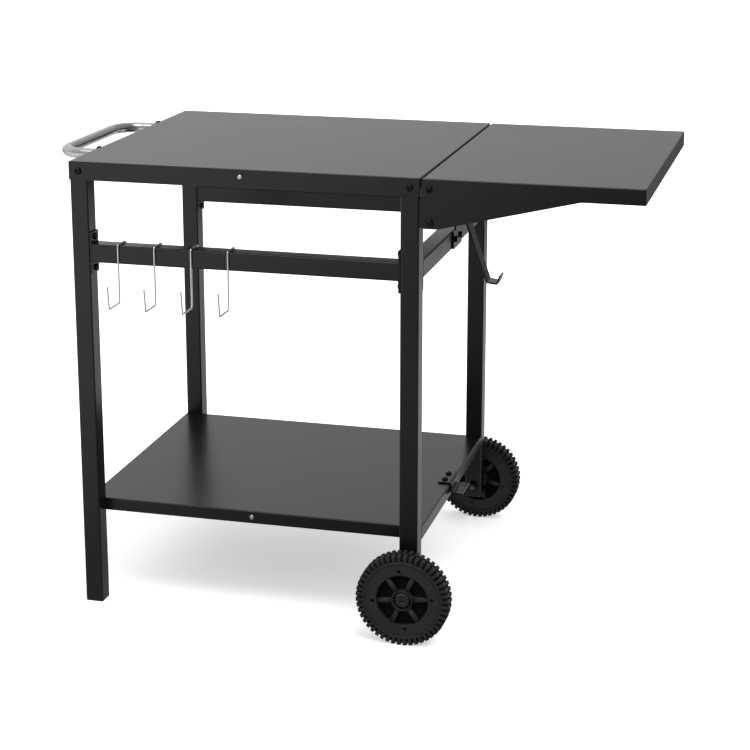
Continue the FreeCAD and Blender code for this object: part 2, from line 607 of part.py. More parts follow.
def make_axle(side):
    """An axle bolt with a low round head and a hexagon socket, its spacer and its nut."""
    out = Y * side
    head_seat = V(LEG_RIGHT_X, side * (WHEEL_OUTER_FACE - HUB_RECESS_DEPTH + FLAT_CLEARANCE), AXLE_Z)
    nut_seat = V(LEG_RIGHT_X, side * LEG_INNER, AXLE_Z)
    length = abs(head_seat.y) - LEG_INNER + AXLE_NUT_HEIGHT
    bolt = dome_bolt(head_seat, -out, length, AXLE_DIAMETER, AXLE_HEAD, AXLE_HEAD_HEIGHT)
    bolt = bolt.cut(hexagon(AXLE_SOCKET, head_seat + out * AXLE_HEAD_HEIGHT, -out, AXLE_SOCKET_DEPTH))
    spacer = ring(SPACER_DIAMETER, AXLE_DIAMETER + 2 * HOLE_CLEARANCE, V(LEG_RIGHT_X, side * LEG_FACE, AXLE_Z),
                  out, WHEEL_GAP - FLAT_CLEARANCE)
    lock_nut = nut(AXLE_NUT, AXLE_NUT_HEIGHT, AXLE_DIAMETER, nut_seat, -out)
    return bolt, spacer, lock_nut


def make_wire_hook(x):
    """A square-bent wire hook that hangs over the front rail."""
    front = -LEG_Y - RAIL_DEPTH / 2 - HOOK_OFFSET
    back = -LEG_Y + RAIL_DEPTH / 2 + HOOK_OFFSET
    crown = RAIL_TOP + HOOK_OFFSET
    low = crown - HOOK_LENGTH
    throat = front - HOOK_THROAT
    route = [V(x, back, crown - HOOK_BACK_DROP), V(x, back, crown), V(x, front, crown), V(x, front, low),
             V(x, throat, low), V(x, throat - HOOK_TIP_LEAN, low + HOOK_TIP)]
    return round_bar(route, HOOK_BEND, HOOK_WIRE)


def tank_bolt_seats(x):
    """The gas-bottle hook's two bolts, at one plane across the side rail."""
    return [V(x, y, RAIL_Z) for y in (-TANK_BOLT_SPACING / 2, TANK_BOLT_SPACING / 2)]


def make_tank_hook():
    """The gas-bottle hook: a plate on the rail and a strip that folds over, slopes out and turns up."""
    rail_face = LEG_RIGHT_X + RAIL_DEPTH / 2
    plate = box(rail_face, rail_face + TANK_THICKNESS, -TANK_PLATE / 2, TANK_PLATE / 2,
                RAIL_TOP - RAIL_HEIGHT, RAIL_TOP)
    x = rail_face + TANK_THICKNESS / 2
    top = RAIL_TOP + TANK_RISE
    foot = V(x + TANK_FOLD_OUT + TANK_SLOPE_OUT, 0, top - TANK_SLOPE_DROP)
    floor_end = foot + V(TANK_FLOOR, 0, -TANK_FLOOR_DROP)
    route = [V(x, 0, RAIL_TOP), V(x, 0, top), V(x + TANK_FOLD_OUT, 0, top), foot, floor_end,
             floor_end + V(TANK_LIP_OUT, 0, TANK_LIP_RISE)]
    strip = bent_strip(route, TANK_BEND, TANK_THICKNESS, TANK_STRIP)
    hook = plate.fuse(strip)
    return plate_holes(hook, tank_bolt_seats(rail_face), BOLT + 2 * HOLE_CLEARANCE, X, TANK_THICKNESS)


def stop_bolt_seats(height):
    """The gas-bottle stop's two bolts, at one height."""
    return [V(STOP_BOLT_X, y, height) for y in (-STOP_BOLT_SPACING / 2, STOP_BOLT_SPACING / 2)]


def make_tank_stop():
    """The gas-bottle stop: a seat on the shelf, a web down its skirt and a ledge outwards."""
    half = STOP_THICKNESS / 2
    z = SHELF_TOP + half
    web = LEG_RIGHT_FACE + FLAT_CLEARANCE + half
    route = [V(LEG_RIGHT_FACE - STOP_SEAT, 0, z), V(web, 0, z), V(web, 0, z - STOP_DROP),
             V(web + STOP_REACH, 0, z - STOP_DROP)]
    stop = bent_strip(route, STOP_BEND, STOP_THICKNESS, STOP_WIDTH)
    return plate_holes(stop, stop_bolt_seats(SHELF_TOP), BOLT + 2 * HOLE_CLEARANCE, Z, STOP_THICKNESS)


def build_frame():
    """Legs, plugs, rails, pans and channels."""
    legs = (("left", LEG_LEFT_X, PLUG_HEAD, "foot_plug", PLUG_STEM),
            ("right", LEG_RIGHT_X, WHEEL_LEG_BOTTOM, "end_plug", END_PLUG_STEM))
    for hand, leg_x, bottom, plug, stem_length in legs:
        for name, side in SIDES.items():
            save(make_leg(leg_x, side, bottom), "leg_" + name + "_" + hand)
            save(make_plug(leg_x, side, bottom, stem_length), plug + "_" + name)
    for name, side in SIDES.items():
        save(make_long_rail(side), "rail_" + name)
        save(make_bracket(side), "hinge_bracket_" + name)
    save(make_side_rail(), "rail_side")
    save(make_main_top(), "main_top")
    save(make_shelf(), "lower_shelf")
    save(make_channel(LEG_FACE, LEG_TOP, TOP_CHANNEL_DEPTH, TOP_CHANNEL_SCREW_Z), "top_stiffener")
    save(make_channel(LEG_INNER - SHELF_SHEET, SHELF_TOP - SHELF_SHEET, SHELF_CHANNEL_DEPTH,
                      SHELF_CHANNEL_SCREW_Z), "shelf_stiffener")


def build_frame_fasteners():
    """Bolts, screws and nuts that hold the frame together."""
    rivet_nuts = []
    plate_bolts = []
    corner_screws = []
    shelf_bolts = []
    bracket_bolts = []
    for leg_x in (LEG_LEFT_X, LEG_RIGHT_X):
        for side in SIDES.values():
            for face, inward in leg_fixings(leg_x, side):
                rivet_nuts.append(rivet_nut(face, inward))
                if face.z == CORNER_SCREW_Z:
                    corner_screws.append(cross_screw(face - inward * SHEET, inward, BOLT_LENGTH - PLATE_THICKNESS,
                                                     BOLT, CORNER_SCREW_HEAD, BOLT_HEAD_HEIGHT))
                elif face.z == SHELF_BOLT_Z:
                    shelf_bolts.append(dome_bolt(face - inward * SHELF_SHEET, inward,
                                                 BOLT_LENGTH - PLATE_THICKNESS))
                elif face.z in BRACKET_BOLT_HEIGHTS:
                    bracket_bolts.append(dome_bolt(face - inward * BRACKET_THICKNESS, inward, BOLT_LENGTH))
                else:
                    plate_bolts.append(dome_bolt(face - inward * PLATE_THICKNESS, inward, BOLT_LENGTH))
    for node, group in (("rivet_nuts", rivet_nuts), ("rail_bolts", plate_bolts), ("corner_screws", corner_screws),
                        ("shelf_bolts", shelf_bolts), ("bracket_bolts", bracket_bolts)):
        save(Part.makeCompound(group), node)
    small_screws = []
    small_nuts = []
    for half_depth, sheet, height in ((TOP_DEPTH / 2, SHEET, TOP_CHANNEL_SCREW_Z),
                                      (LEG_INNER, SHELF_SHEET, SHELF_CHANNEL_SCREW_Z)):
        for seat, inward in channel_screws(half_depth, height):
            small_screws.append(cross_screw(seat, inward, SMALL_SCREW_LENGTH, SMALL_SCREW, SMALL_SCREW_HEAD,
                                            SMALL_SCREW_HEAD_HEIGHT))
            small_nuts.append(nut(SMALL_NUT, SMALL_NUT_HEIGHT, SMALL_SCREW,
                                  seat + inward * (sheet + CHANNEL_WALL), inward))
    save(Part.makeCompound(small_screws), "stiffener_screws")
    save(Part.makeCompound(small_nuts), "stiffener_nuts")


def build_handle():
    """The handle, its flanges, its threaded inserts and its screws."""
    save(make_handle(), "handle")
    inserts = []
    screws = []
    for name, side in SIDES.items():
        seat = V(MAIN_LEFT, side * HANDLE_ARM_SPACING / 2, HANDLE_Z)
        flange = ring(HANDLE_FLANGE, HANDLE_TUBE + 2 * THREAD_FIT, seat, -X, HANDLE_FLANGE_THICKNESS)
        save(flange, "handle_flange_" + name)
        bore = HANDLE_TUBE - 2 * HANDLE_WALL - 2 * THREAD_FIT
        inserts.append(ring(bore, BOLT + 2 * THREAD_FIT, seat, -X, HANDLE_INSERT_LENGTH))
        screws.append(dome_bolt(seat + X * SHEET, -X, HANDLE_SCREW_LENGTH))
    save(Part.makeCompound(inserts), "handle_inserts")
    save(Part.makeCompound(screws), "handle_screws")


def build_side_table():
    """The side table with its pivot bolts, lock screws and their nuts."""
    save(make_side_table(), "side_table")
    nut_gap = LEG_FACE - EAR_INNER + FLAT_CLEARANCE
    length = SHEET + nut_gap + NUT_HEIGHT
    pivot_bolts = []
    lock_screws = []
    pivot_nuts = []
    lock_nuts = []
    for side in SIDES.values():
        inward = Y * -side
        pivot = V(PIVOT_X, side * TOP_DEPTH / 2, PIVOT_Z)
        lock = V(PIVOT_X, side * TOP_DEPTH / 2, LOCK_Z)
        pivot_bolts.append(dome_bolt(pivot, inward, length, head=PIVOT_HEAD))
        lock_screws.append(cross_screw(lock, inward, length, BOLT, BOLT_HEAD, BOLT_HEAD_HEIGHT))
        pivot_nuts.append(nut(NUT, NUT_HEIGHT, BOLT, pivot + inward * (SHEET + nut_gap), inward))
        lock_nuts.append(nut(NUT, NUT_HEIGHT, BOLT, lock + inward * (SHEET + nut_gap), inward))
    for node, group in (("pivot_bolts", pivot_bolts), ("lock_screws", lock_screws), ("pivot_nuts", pivot_nuts),
                        ("lock_nuts", lock_nuts)):
        save(Part.makeCompound(group), node)


def build_wheels():
    """Two wheels, each with its rim, tyre and axle."""
    for name, side in SIDES.items():
        save(make_tyre(side), "tyre_" + name)
        save(make_rim(side, WHEEL_TURN[name]), "wheel_" + name)
        bolt, spacer, lock_nut = make_axle(side)
        save(bolt, "axle_bolt_" + name)
        save(spacer, "axle_spacer_" + name)
        save(lock_nut, "axle_nut_" + name)


def build_hooks():
    """The four wire hooks, the gas-bottle hook and the gas-bottle stop."""
    for k in range(HOOK_COUNT):
        save(make_wire_hook(MAIN_LEFT + HOOK_FIRST + k * HOOK_PITCH), "wire_hook_" + str(k + 1))
    save(make_tank_hook(), "tank_hook")
    save(make_tank_stop(), "tank_stop")
    rail_back = LEG_RIGHT_X - RAIL_DEPTH / 2
    outer_face = LEG_RIGHT_X + RAIL_DEPTH / 2 + TANK_THICKNESS
    length = outer_face - rail_back + NUT_HEIGHT
    bolts = [hex_bolt(seat, -X, length, BOLT, NUT, BOLT_HEAD_HEIGHT) for seat in tank_bolt_seats(outer_face)]
    nuts = [nut(NUT, NUT_HEIGHT, BOLT, seat, -X) for seat in tank_bolt_seats(rail_back)]
    save(Part.makeCompound(bolts), "tank_hook_bolts")
    save(Part.makeCompound(nuts), "tank_hook_nuts")
    length = STOP_THICKNESS + SHELF_SHEET + NUT_HEIGHT
    bolts = [dome_bolt(seat, -Z, length) for seat in stop_bolt_seats(SHELF_TOP + STOP_THICKNESS)]
    nuts = [nut(NUT, NUT_HEIGHT, BOLT, seat, -Z) for seat in stop_bolt_seats(SHELF_TOP - SHELF_SHEET)]
    save(Part.makeCompound(bolts), "tank_stop_bolts")
    save(Part.makeCompound(nuts), "tank_stop_nuts")


os.makedirs("parts", exist_ok=True)
build_frame()
build_frame_fasteners()
build_handle()
build_side_table()
build_wheels()
build_hooks()
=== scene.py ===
# %% [markdown]
# # A grill cart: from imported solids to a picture
# The cart is folded black sheet steel on square legs, with a drop-leaf side table, a shelf, a bent handle,
# two lugged wheels and wire hooks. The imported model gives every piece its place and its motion.
# This lesson builds the finished surfaces on that frame, one piece at a time, in metres.

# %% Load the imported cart
import bmesh
import bpy
import math
from mathutils import Matrix, Vector


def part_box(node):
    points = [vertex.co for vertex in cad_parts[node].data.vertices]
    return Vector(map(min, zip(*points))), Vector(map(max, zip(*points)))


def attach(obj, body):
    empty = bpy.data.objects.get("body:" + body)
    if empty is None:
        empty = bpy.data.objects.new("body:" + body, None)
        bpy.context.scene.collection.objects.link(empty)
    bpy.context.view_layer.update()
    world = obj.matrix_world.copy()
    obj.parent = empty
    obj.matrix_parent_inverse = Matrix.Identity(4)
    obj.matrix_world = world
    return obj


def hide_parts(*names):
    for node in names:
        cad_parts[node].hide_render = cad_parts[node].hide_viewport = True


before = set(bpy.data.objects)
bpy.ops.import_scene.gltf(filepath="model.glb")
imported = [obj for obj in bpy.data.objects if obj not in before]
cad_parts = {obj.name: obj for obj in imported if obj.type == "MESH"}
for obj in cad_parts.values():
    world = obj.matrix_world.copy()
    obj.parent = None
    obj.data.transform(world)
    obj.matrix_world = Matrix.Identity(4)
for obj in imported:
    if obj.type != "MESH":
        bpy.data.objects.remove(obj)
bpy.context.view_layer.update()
MM = 0.001
SIDES = {"front": -1, "back": 1}

# %% [markdown]
# ## Camera
# The picture was taken with a lens that was shifted down, so the legs look upright. A strong shift would spoil
# the other views, so the camera is tilted most of the way and shifted only a little.


# %% Camera
def add_object(name, data):
    """A new object at the origin, in the scene."""
    made = bpy.data.objects.new(name, data)
    bpy.context.scene.collection.objects.link(made)
    return made


EYE = (0.8218, -3.0845, 1.303)
EYE_DOWN = 14.422
EYE_TURN = 14.645
SENSOR = 36
LENS = 93.07
LENS_SHIFT = -0.1
eye = add_object("camera", bpy.data.cameras.new("camera"))
eye.location = EYE
eye.rotation_euler = (math.radians(90 - EYE_DOWN), 0, math.radians(EYE_TURN))
eye.data.sensor_width = SENSOR
eye.data.lens = LENS
eye.data.shift_y = LENS_SHIFT
bpy.context.scene.camera = eye
print("camera lens", LENS, "mm")

# %% [markdown]
# ## Wires in a node tree
# A finish is a sum of noises, masks and mixes. Written with raw nodes, that is a page of links. A small class
# that holds a tree and one output socket lets the maths read as Python: adding or multiplying two of them
# makes the Math node. Every other node comes from one method.


# %% The wire class
class Wire:
    """The free end of a wire in a node tree."""

    def __init__(self, tree, socket=None):
        self.tree = tree
        self.socket = socket

    def node(self, kind, settings=None, sockets=None, out=0):
        """Adds a node, sets it up, fills its sockets and gives one of its outputs."""
        made = self.tree.nodes.new(kind)
        for key, value in (settings or {}).items():
            setattr(made, key, value)
        for key, value in (sockets or {}).items():
            if isinstance(value, Wire):
                self.tree.links.new(value.socket, made.inputs[key])
            else:
                made.inputs[key].default_value = value
        return Wire(self.tree, made.outputs[out] if len(made.outputs) else None)

    def maths(self, operation, first, second=0.0):
        return self.node("ShaderNodeMath", {"operation": operation}, {0: first, 1: second})

    def __add__(self, other):
        return self.maths("ADD", self, other)

    def __radd__(self, other):
        return self.maths("ADD", other, self)

    def __sub__(self, other):
        return self.maths("SUBTRACT", self, other)

    def __rsub__(self, other):
        return self.maths("SUBTRACT", other, self)

    def __mul__(self, other):
        return self.maths("MULTIPLY", self, other)

    def __rmul__(self, other):
        return self.maths("MULTIPLY", other, self)

    def __mod__(self, other):
        return self.maths("MODULO", self, other)


# %% [markdown]
# ## Studio: world and lamp
# The cart stands in a white studio. Rays from the camera, or through a clear surface, see a white world. The
# rays that light the cart see a softer one, so that the light stays plain. One wide sun from above gives the
# soft shadow. It lights the whole floor alike, so the floor joins the world without an edge.
# A black cart shows little more than what its faces mirror, so mirrored rays see the studio as it is: a soft
# box above the front, dark where the photographer stands, dim on the right, and bright behind and on the left.
# They do not see the sun, because a lamp as wide as that would burn white patches onto the handle.


# %% World and lamp
def ray_is(wire, *kinds):
    """One for the named kinds of rays, and zero for the rest."""
    found = [wire.node("ShaderNodeLightPath", out="Is " + kind + " Ray") for kind in kinds]
    return wire.maths("MINIMUM", sum(found[1:], found[0]), 1.0)


def fade(wire, value, limits, levels):
    """A smooth change from one level to another, between two limits of a value."""
    return wire.node("ShaderNodeMapRange", {"interpolation_type": "SMOOTHSTEP"},
                     {"Value": value, "From Min": limits[0], "From Max": limits[1],
                      "To Min": levels[0], "To Max": levels[1]})


def part_of(wire, vector, axis):
    """One of the three numbers of a vector."""
    return wire.node("ShaderNodeSeparateXYZ", sockets={"Vector": vector}, out=axis)


AMBIENT = (0.25, 0.80)
FRONT_TO_BACK = (-0.5, 0.2)
ROOM = (0.50, 0.78)
LEFT_TO_RIGHT = (-0.5, 0.5)
ROOM_SHARE = (1.0, 0.38)
SOFT_BOX = 5.0
SOFT_BOX_WAY = (-0.10, -0.42, 0.90)
SOFT_BOX_EDGE = (0.94, 0.99)
SUN_STRENGTH = 1.1
SUN_WIDTH = 35
SUN_TILT = (16, 20, 0)
world = bpy.data.worlds.new("white studio")
bpy.context.scene.world = world
world.use_nodes = True
world.node_tree.nodes.clear()
sky = Wire(world.node_tree)
way = sky.node("ShaderNodeTexCoord", out="Generated")
room = fade(sky, part_of(sky, way, "Y"), FRONT_TO_BACK, ROOM)
room = room * fade(sky, part_of(sky, way, "X"), LEFT_TO_RIGHT, ROOM_SHARE)
towards_box = sky.node("ShaderNodeVectorMath", {"operation": "DOT_PRODUCT"}, {0: way, 1: SOFT_BOX_WAY}, "Value")
room = room + fade(sky, towards_box, SOFT_BOX_EDGE, (0.0, SOFT_BOX))
ambient = fade(sky, part_of(sky, way, "Z"), (0.0, 1.0), AMBIENT)
shown = ray_is(sky, "Camera", "Transmission")
mirrored = ray_is(sky, "Glossy")
glow = sky.node("ShaderNodeBackground", sockets={
    "Color": (1, 1, 1, 1), "Strength": shown + mirrored * room + ambient * (1 - shown - mirrored)})
sky.node("ShaderNodeOutputWorld", sockets={"Surface": glow})

lamp = add_object("soft_sun", bpy.data.lights.new("soft_sun", "SUN"))
lamp.data.energy = SUN_STRENGTH
lamp.data.angle = math.radians(SUN_WIDTH)
lamp.rotation_euler = [math.radians(angle) for angle in SUN_TILT]
lamp.visible_glossy = False
print("a white world and one sun,", SUN_WIDTH, "degrees wide")

# %% [markdown]
# ## Floor
# The floor is white paper. Camera rays see it lit up to white, and its shadow with a little more contrast.
# Mirrored rays see it as a lit sheet looks from the cart: bright on the left, darker towards the photographer
# and far behind. The paper's own coordinates, in metres, set those levels.


# %% Floor
def begin_finish(name):
    """An empty material, the start of its wires and its object coordinates."""
    material = bpy.data.materials.new(name)
    material.use_nodes = True
    material.node_tree.nodes.clear()
    start = Wire(material.node_tree)
    return material, start, start.node("ShaderNodeTexCoord", out="Object")


def add_points(name, points, edges=(), faces=()):
    """A new object of bare points, edges and faces."""
    mesh = bpy.data.meshes.new(name)
    mesh.from_pydata(points, edges, faces)
    return add_object(name, mesh)


FLOOR_HALF = 30.0
FLOOR_CORNERS = ((-1, -1), (1, -1), (1, 1), (-1, 1))
FLOOR_GREY = 0.80
FLOOR_GLOW = 0.46
SHADOW_CONTRAST = 0.8
FAR_FRONT = (-3.2, -1.4)
FAR_FRONT_LEVELS = (0.06, 0.26)
NEAR_FRONT = (-1.1, -0.6)
NEAR_FRONT_SHARE = (1.0, 0.30)
LEFT = (-1.5, 0.1)
LEFT_LEVEL = 0.80
UNDER_CART = (-0.5, 0.2)
FAR_BACK = (2.0, 3.4)
FAR_BACK_LEVELS = (0.58, 0.13)
floor = add_points("floor", [(x * FLOOR_HALF, y * FLOOR_HALF, 0) for x, y in FLOOR_CORNERS], faces=[(0, 1, 2, 3)])
paper, roll, spot = begin_finish("floor_paper")
across = part_of(roll, spot, "X")
along = part_of(roll, spot, "Y")
right_front = fade(roll, along, FAR_FRONT, FAR_FRONT_LEVELS) * fade(roll, along, NEAR_FRONT, NEAR_FRONT_SHARE)
front = right_front + (LEFT_LEVEL - right_front) * fade(roll, across, LEFT, (1.0, 0.0))
back = fade(roll, along, FAR_BACK, FAR_BACK_LEVELS)
behind = fade(roll, along, UNDER_CART, (0.0, 1.0))
mirrored_level = front * (1 - behind) + back * behind
lit = 1 - ray_is(roll, "Glossy") * (1 - mirrored_level)
seen = ray_is(roll, "Camera", "Glossy", "Transmission")
paper_grey = FLOOR_GREY * lit * (1 + SHADOW_CONTRAST * ray_is(roll, "Camera"))
matt = roll.node("ShaderNodeBsdfDiffuse", sockets={"Color": paper_grey})
shine = roll.node("ShaderNodeEmission", sockets={"Strength": FLOOR_GLOW * seen * lit})
both = roll.node("ShaderNodeAddShader", sockets={0: matt, 1: shine})
roll.node("ShaderNodeOutputMaterial", sockets={"Surface": both})
floor.data.materials.append(paper)
bpy.context.scene.view_settings.view_transform = "Standard"
print("floor", 2 * FLOOR_HALF, "m wide")

# %% [markdown]
# ## Finishes
# Nearly everything on this cart is black, so the finishes differ by gloss and grain, not by colour. Each one
# starts from the object's own coordinates in metres, so a noise scale of 500 gives grains of about 2 mm.
# Only colour, roughness and bump vary over the surface. The numbers that are the same all over, such as the
# index of refraction, are set on the shader itself.


# %% What every finish uses
def end_finish(start, colour, rough, bump, settings):
    """Joins colour, roughness and relief into one surface."""
    sockets = {"Base Color": colour, "Roughness": rough, "Normal": bump}
    sockets.update(settings)
    surface = start.node("ShaderNodeBsdfPrincipled", sockets=sockets)
    start.node("ShaderNodeOutputMaterial", sockets={"Surface": surface})


def noise(start, where, scale, detail):
    """A soft noise between about 0.3 and 0.7, with a given number of grains to the metre."""
    return start.node("ShaderNodeTexNoise", sockets={"Vector": where, "Scale": scale, "Detail": detail})


def grey(level):
    return (level, level, level)


def blend_colours(start, share, first, second):
    """A colour between two others, by a share from 0 to 1."""
    ends = [end if isinstance(end, Wire) else (*end, 1) for end in (first, second)]
    return start.node("ShaderNodeMix", {"data_type": "RGBA"}, {"Factor": share, 6: ends[0], 7: ends[1]}, out=2)


def relief(start, height, strength, depth):
    """A bump from a height, with its depth in metres."""
    return start.node("ShaderNodeBump", sockets={"Height": height, "Strength": strength, "Distance": depth})


# %% [markdown]
# ### Powder coat
# The steel is powder coated: baked paint with a satin gloss. Close up it has a fine orange peel, with flecks
# where the powder flowed less. Its clear top reflects little head on and a lot at a flat angle, which is why
# the tops look grey and the fronts black. The index of refraction gives that, and no grey paint is needed.


# %% Powder coat
def powder_coat(name, dark, light):
    material, start, where = begin_finish(name)
    cloud = noise(start, where, scale=9.0, detail=3.0)
    peel = noise(start, where, scale=650.0, detail=1.0)
    fleck = noise(start, where, scale=2600.0, detail=0.0)
    colour = blend_colours(start, cloud, dark, light)
    rough = 0.24 + 0.03 * cloud + 0.02 * fleck
    bump = relief(start, peel + 0.4 * fleck, strength=0.05, depth=0.0002)
    end_finish(start, colour, rough, bump, {"IOR": 1.48})
    return material


coat = powder_coat("powder_coat", dark=(0.0055, 0.0055, 0.0057), light=(0.0085, 0.0085, 0.0087))
print("finish", coat.name)

# %% [markdown]
# ### Black fasteners
# Bolts and screws are black zinc: a metal with a dark, slightly uneven film. A metal shader with a dark base
# gives the small sharp glints that paint would not. The heads of the axle bolts get a lighter zinc, as painted
# light that brightens them in the shade of the hub recess.


# %% Black fasteners
def black_zinc(name, dark, light):
    material, start, where = begin_finish(name)
    patch = noise(start, where, scale=160.0, detail=3.0)
    grain = noise(start, where, scale=1800.0, detail=1.0)
    colour = blend_colours(start, patch, dark, light)
    rough = 0.12 + 0.12 * patch + 0.04 * grain
    bump = relief(start, grain, strength=0.10, depth=0.0001)
    end_finish(start, colour, rough, bump, {"Metallic": 0.9})
    return material


fastener_black = black_zinc("black_zinc", dark=(0.020, 0.020, 0.021), light=(0.040, 0.040, 0.041))
# A lighter zinc for the axle bolts: painted light against the shade of the hub recess.
axle_lightened_zinc = black_zinc("lightened_axle_zinc", dark=grey(0.10), light=grey(0.18))
print("finishes", fastener_black.name, axle_lightened_zinc.name)

# %% [markdown]
# ### Moulded plastic and tread
# Wheel bodies, plugs and spacers are moulded black plastic with a fine spark grain. The wheel faces also show
# faint rings from the turned mould, so the relief adds a wave of the distance from the axle. The tread is
# the same black in a softer, duller rubber. The pockets between the spokes and the slots between the lugs are
# left rough from the mould, so they are duller the deeper they go, and their colour is darkened towards the
# floor of each hollow as painted shade. A hollow is given by its depth, as a distance from the wheel's middle,
# and by how far it reaches out from the axle.

# %% Moulded plastic and tread
hub_low, hub_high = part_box("wheel_front")
AXLE_X = (hub_low.x + hub_high.x) / 2
AXLE_Z = (hub_low.z + hub_high.z) / 2
WHEEL_MIDDLE = abs(hub_low.y + hub_high.y) / 2
SPOKE_POCKET = {"depth": (3 * MM, 11 * MM), "reach": (43 * MM, 44 * MM)}
LUG_SLOT = {"depth": (12.9 * MM, 14.4 * MM), "reach": (73.2 * MM, 74.8 * MM)}
HOLLOW_PAINTED_SHADE = 0.003
HOLLOW_ROUGH = 0.9


def how_deep(start, where, from_axle, hollow):
    """One at the floor of a hollow in a wheel, and zero at its edge and beyond its reach: the mask of the painted
    shade.
    """
    off_cart = start.maths("ABSOLUTE", part_of(start, where, "Y"))
    off_middle = start.maths("ABSOLUTE", off_cart - WHEEL_MIDDLE)
    off_axle = start.node("ShaderNodeVectorMath", {"operation": "LENGTH"}, {0: from_axle}, "Value")
    near_floor = fade(start, off_middle, hollow["depth"], (1.0, 0.0))
    return near_floor * fade(start, off_axle, hollow["reach"], (1.0, 0.0))


def moulded_black(name, dark, light, rough_base, grain_depth, hollow=None):
    material, start, where = begin_finish(name)
    flow = noise(start, where, scale=30.0, detail=3.0)
    grain = noise(start, where, scale=1500.0, detail=2.0)
    from_axle = start.node("ShaderNodeMapping", sockets={
        "Vector": where, "Location": (-AXLE_X, 0, -AXLE_Z), "Scale": (1, 0, 1)})
    rings = start.node("ShaderNodeTexWave", {"wave_type": "RINGS", "rings_direction": "SPHERICAL"},
                       {"Vector": from_axle, "Scale": 130.0, "Distortion": 0.6}, out="Fac")
    colour = blend_colours(start, flow, grey(dark), grey(light))
    rough = rough_base + 0.10 * flow + 0.06 * grain
    if hollow:
        # Painted shade: the colour darkens towards the floor of a hollow, and the roughness rises there too.
        deep = how_deep(start, where, from_axle, hollow)
        colour = blend_colours(start, deep, colour, grey(HOLLOW_PAINTED_SHADE))
        rough = rough + (HOLLOW_ROUGH - rough_base) * deep
    bump = relief(start, grain + 0.25 * rings, strength=0.22, depth=grain_depth)
    end_finish(start, colour, rough, bump, {"IOR": 1.42})
    return material


plastic_black = moulded_black("moulded_plastic", dark=0.022, light=0.032, rough_base=0.36, grain_depth=0.0002,
                              hollow=SPOKE_POCKET)
tread_black = moulded_black("tread_rubber", dark=0.018, light=0.027, rough_base=0.46, grain_depth=0.0003,
                            hollow=LUG_SLOT)
cover_black = moulded_black("cover_ring_plastic", dark=0.008, light=0.012, rough_base=0.20, grain_depth=0.0001)
print("finishes", plastic_black.name, tread_black.name, cover_black.name)

# %% [markdown]
# ### Bright metal
# The handle is polished, plated tube and the hooks are zinc-plated wire. Polishing leaves long fine streaks, so
# the roughness noise is stretched along the bar. The plating on wire is brighter, and its streaks run down.


# %% Bright metal
def plated(name, dark, light, rough_base, rough_swing, stretch):
    material, start, where = begin_finish(name)
    along_bar = start.node("ShaderNodeMapping", sockets={"Vector": where, "Scale": stretch})
    streak = noise(start, along_bar, scale=900.0, detail=2.0)
    cloud = noise(start, where, scale=45.0, detail=3.0)
    colour = blend_colours(start, cloud, dark, light)
    rough = rough_base + rough_swing * streak + 0.04 * cloud
    bump = relief(start, streak, strength=0.05, depth=0.0001)
    end_finish(start, colour, rough, bump, {"Metallic": 1.0})
    return material


bright_tube = plated("polished_tube", dark=grey(0.55), light=grey(0.63), rough_base=0.15, rough_swing=0.08,
                     stretch=(1, 0.06, 1))
bright_zinc = plated("bright_zinc", dark=(0.78, 0.78, 0.79), light=(0.92, 0.92, 0.93), rough_base=0.14,
                     rough_swing=0.10, stretch=(1, 1, 0.15))
print("finishes", bright_tube.name, bright_zinc.name)

# %% [markdown]
# ## Making and placing a piece
# Every piece goes through the same three steps: its mesh is built in place, its modifiers are turned into a
# plain mesh, and it is tied to the body that it moves with. Small rounded edges come from a Bevel, and a
# Weighted Normal keeps the flats flat beside them. That thin round is what catches the light on folded steel.

# %% Helpers for every piece
SHARP = math.radians(50)
SAME_POINT = 1e-6


def new_piece(name, shape, finish):
    """Turns a bmesh into an object at the origin with one finish."""
    mesh = bpy.data.meshes.new(name)
    shape.to_mesh(mesh)
    shape.free()
    mesh.materials.append(finish)
    mesh.shade_smooth()
    return add_object(name, mesh)


def round_edges(piece, width):
    """Rounds the sharp edges and keeps flat faces flat."""
    bevel = piece.modifiers.new("rounded edges", "BEVEL")
    bevel.width = width
    bevel.segments = 2
    bevel.limit_method = "ANGLE"
    bevel.angle_limit = SHARP
    bevel.harden_normals = False
    piece.modifiers.new("flat faces", "WEIGHTED_NORMAL")


def rounded_piece(name, shape, finish, width):
    """A new piece with rounded edges."""
    piece = new_piece(name, shape, finish)
    round_edges(piece, width)
    return piece


def settle(piece):
    """Turns the modifiers into a plain mesh."""
    graph = bpy.context.evaluated_depsgraph_get()
    mesh = bpy.data.meshes.new_from_object(piece.evaluated_get(graph), preserve_all_data_layers=True,
                                           depsgraph=graph)
    piece.modifiers.clear()
    piece.data = mesh
    return piece


def place(piece, body, slot, *nodes):
    """Settles a piece, ties it to its body and hides the solids that it stands for."""
    settle(piece)
    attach(piece, body)
    if nodes:
        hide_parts(*nodes)
    print(piece.name, "rides on", body, "with", len(piece.data.polygons), "faces")


def outward(shape):
    """Merges doubles and turns all faces of a closed shape outwards."""
    bmesh.ops.remove_doubles(shape, verts=shape.verts, dist=SAME_POINT)
    bmesh.ops.recalc_face_normals(shape, faces=shape.faces)
    return shape


# %% [markdown]
# ## Folded sheets
# The main top and the shelf are each cut from one sheet and folded down on four sides. A box would have sharp
# edges and no inside. Here the outer skin is drawn as columns round the plan: each column runs up the skirt,
# round the bend and onto the flat. Solidify then gives the skin its sheet thickness inwards.

# %% Columns of a fold
SHEET = 1.5 * MM
BEND = 2.0 * MM
BEND_STEPS = 6
RIM_ROUND = 0.35 * MM


def quarter(steps):
    """The angles of a quarter turn, in even steps."""
    return [math.pi / 2 * k / steps for k in range(steps + 1)]


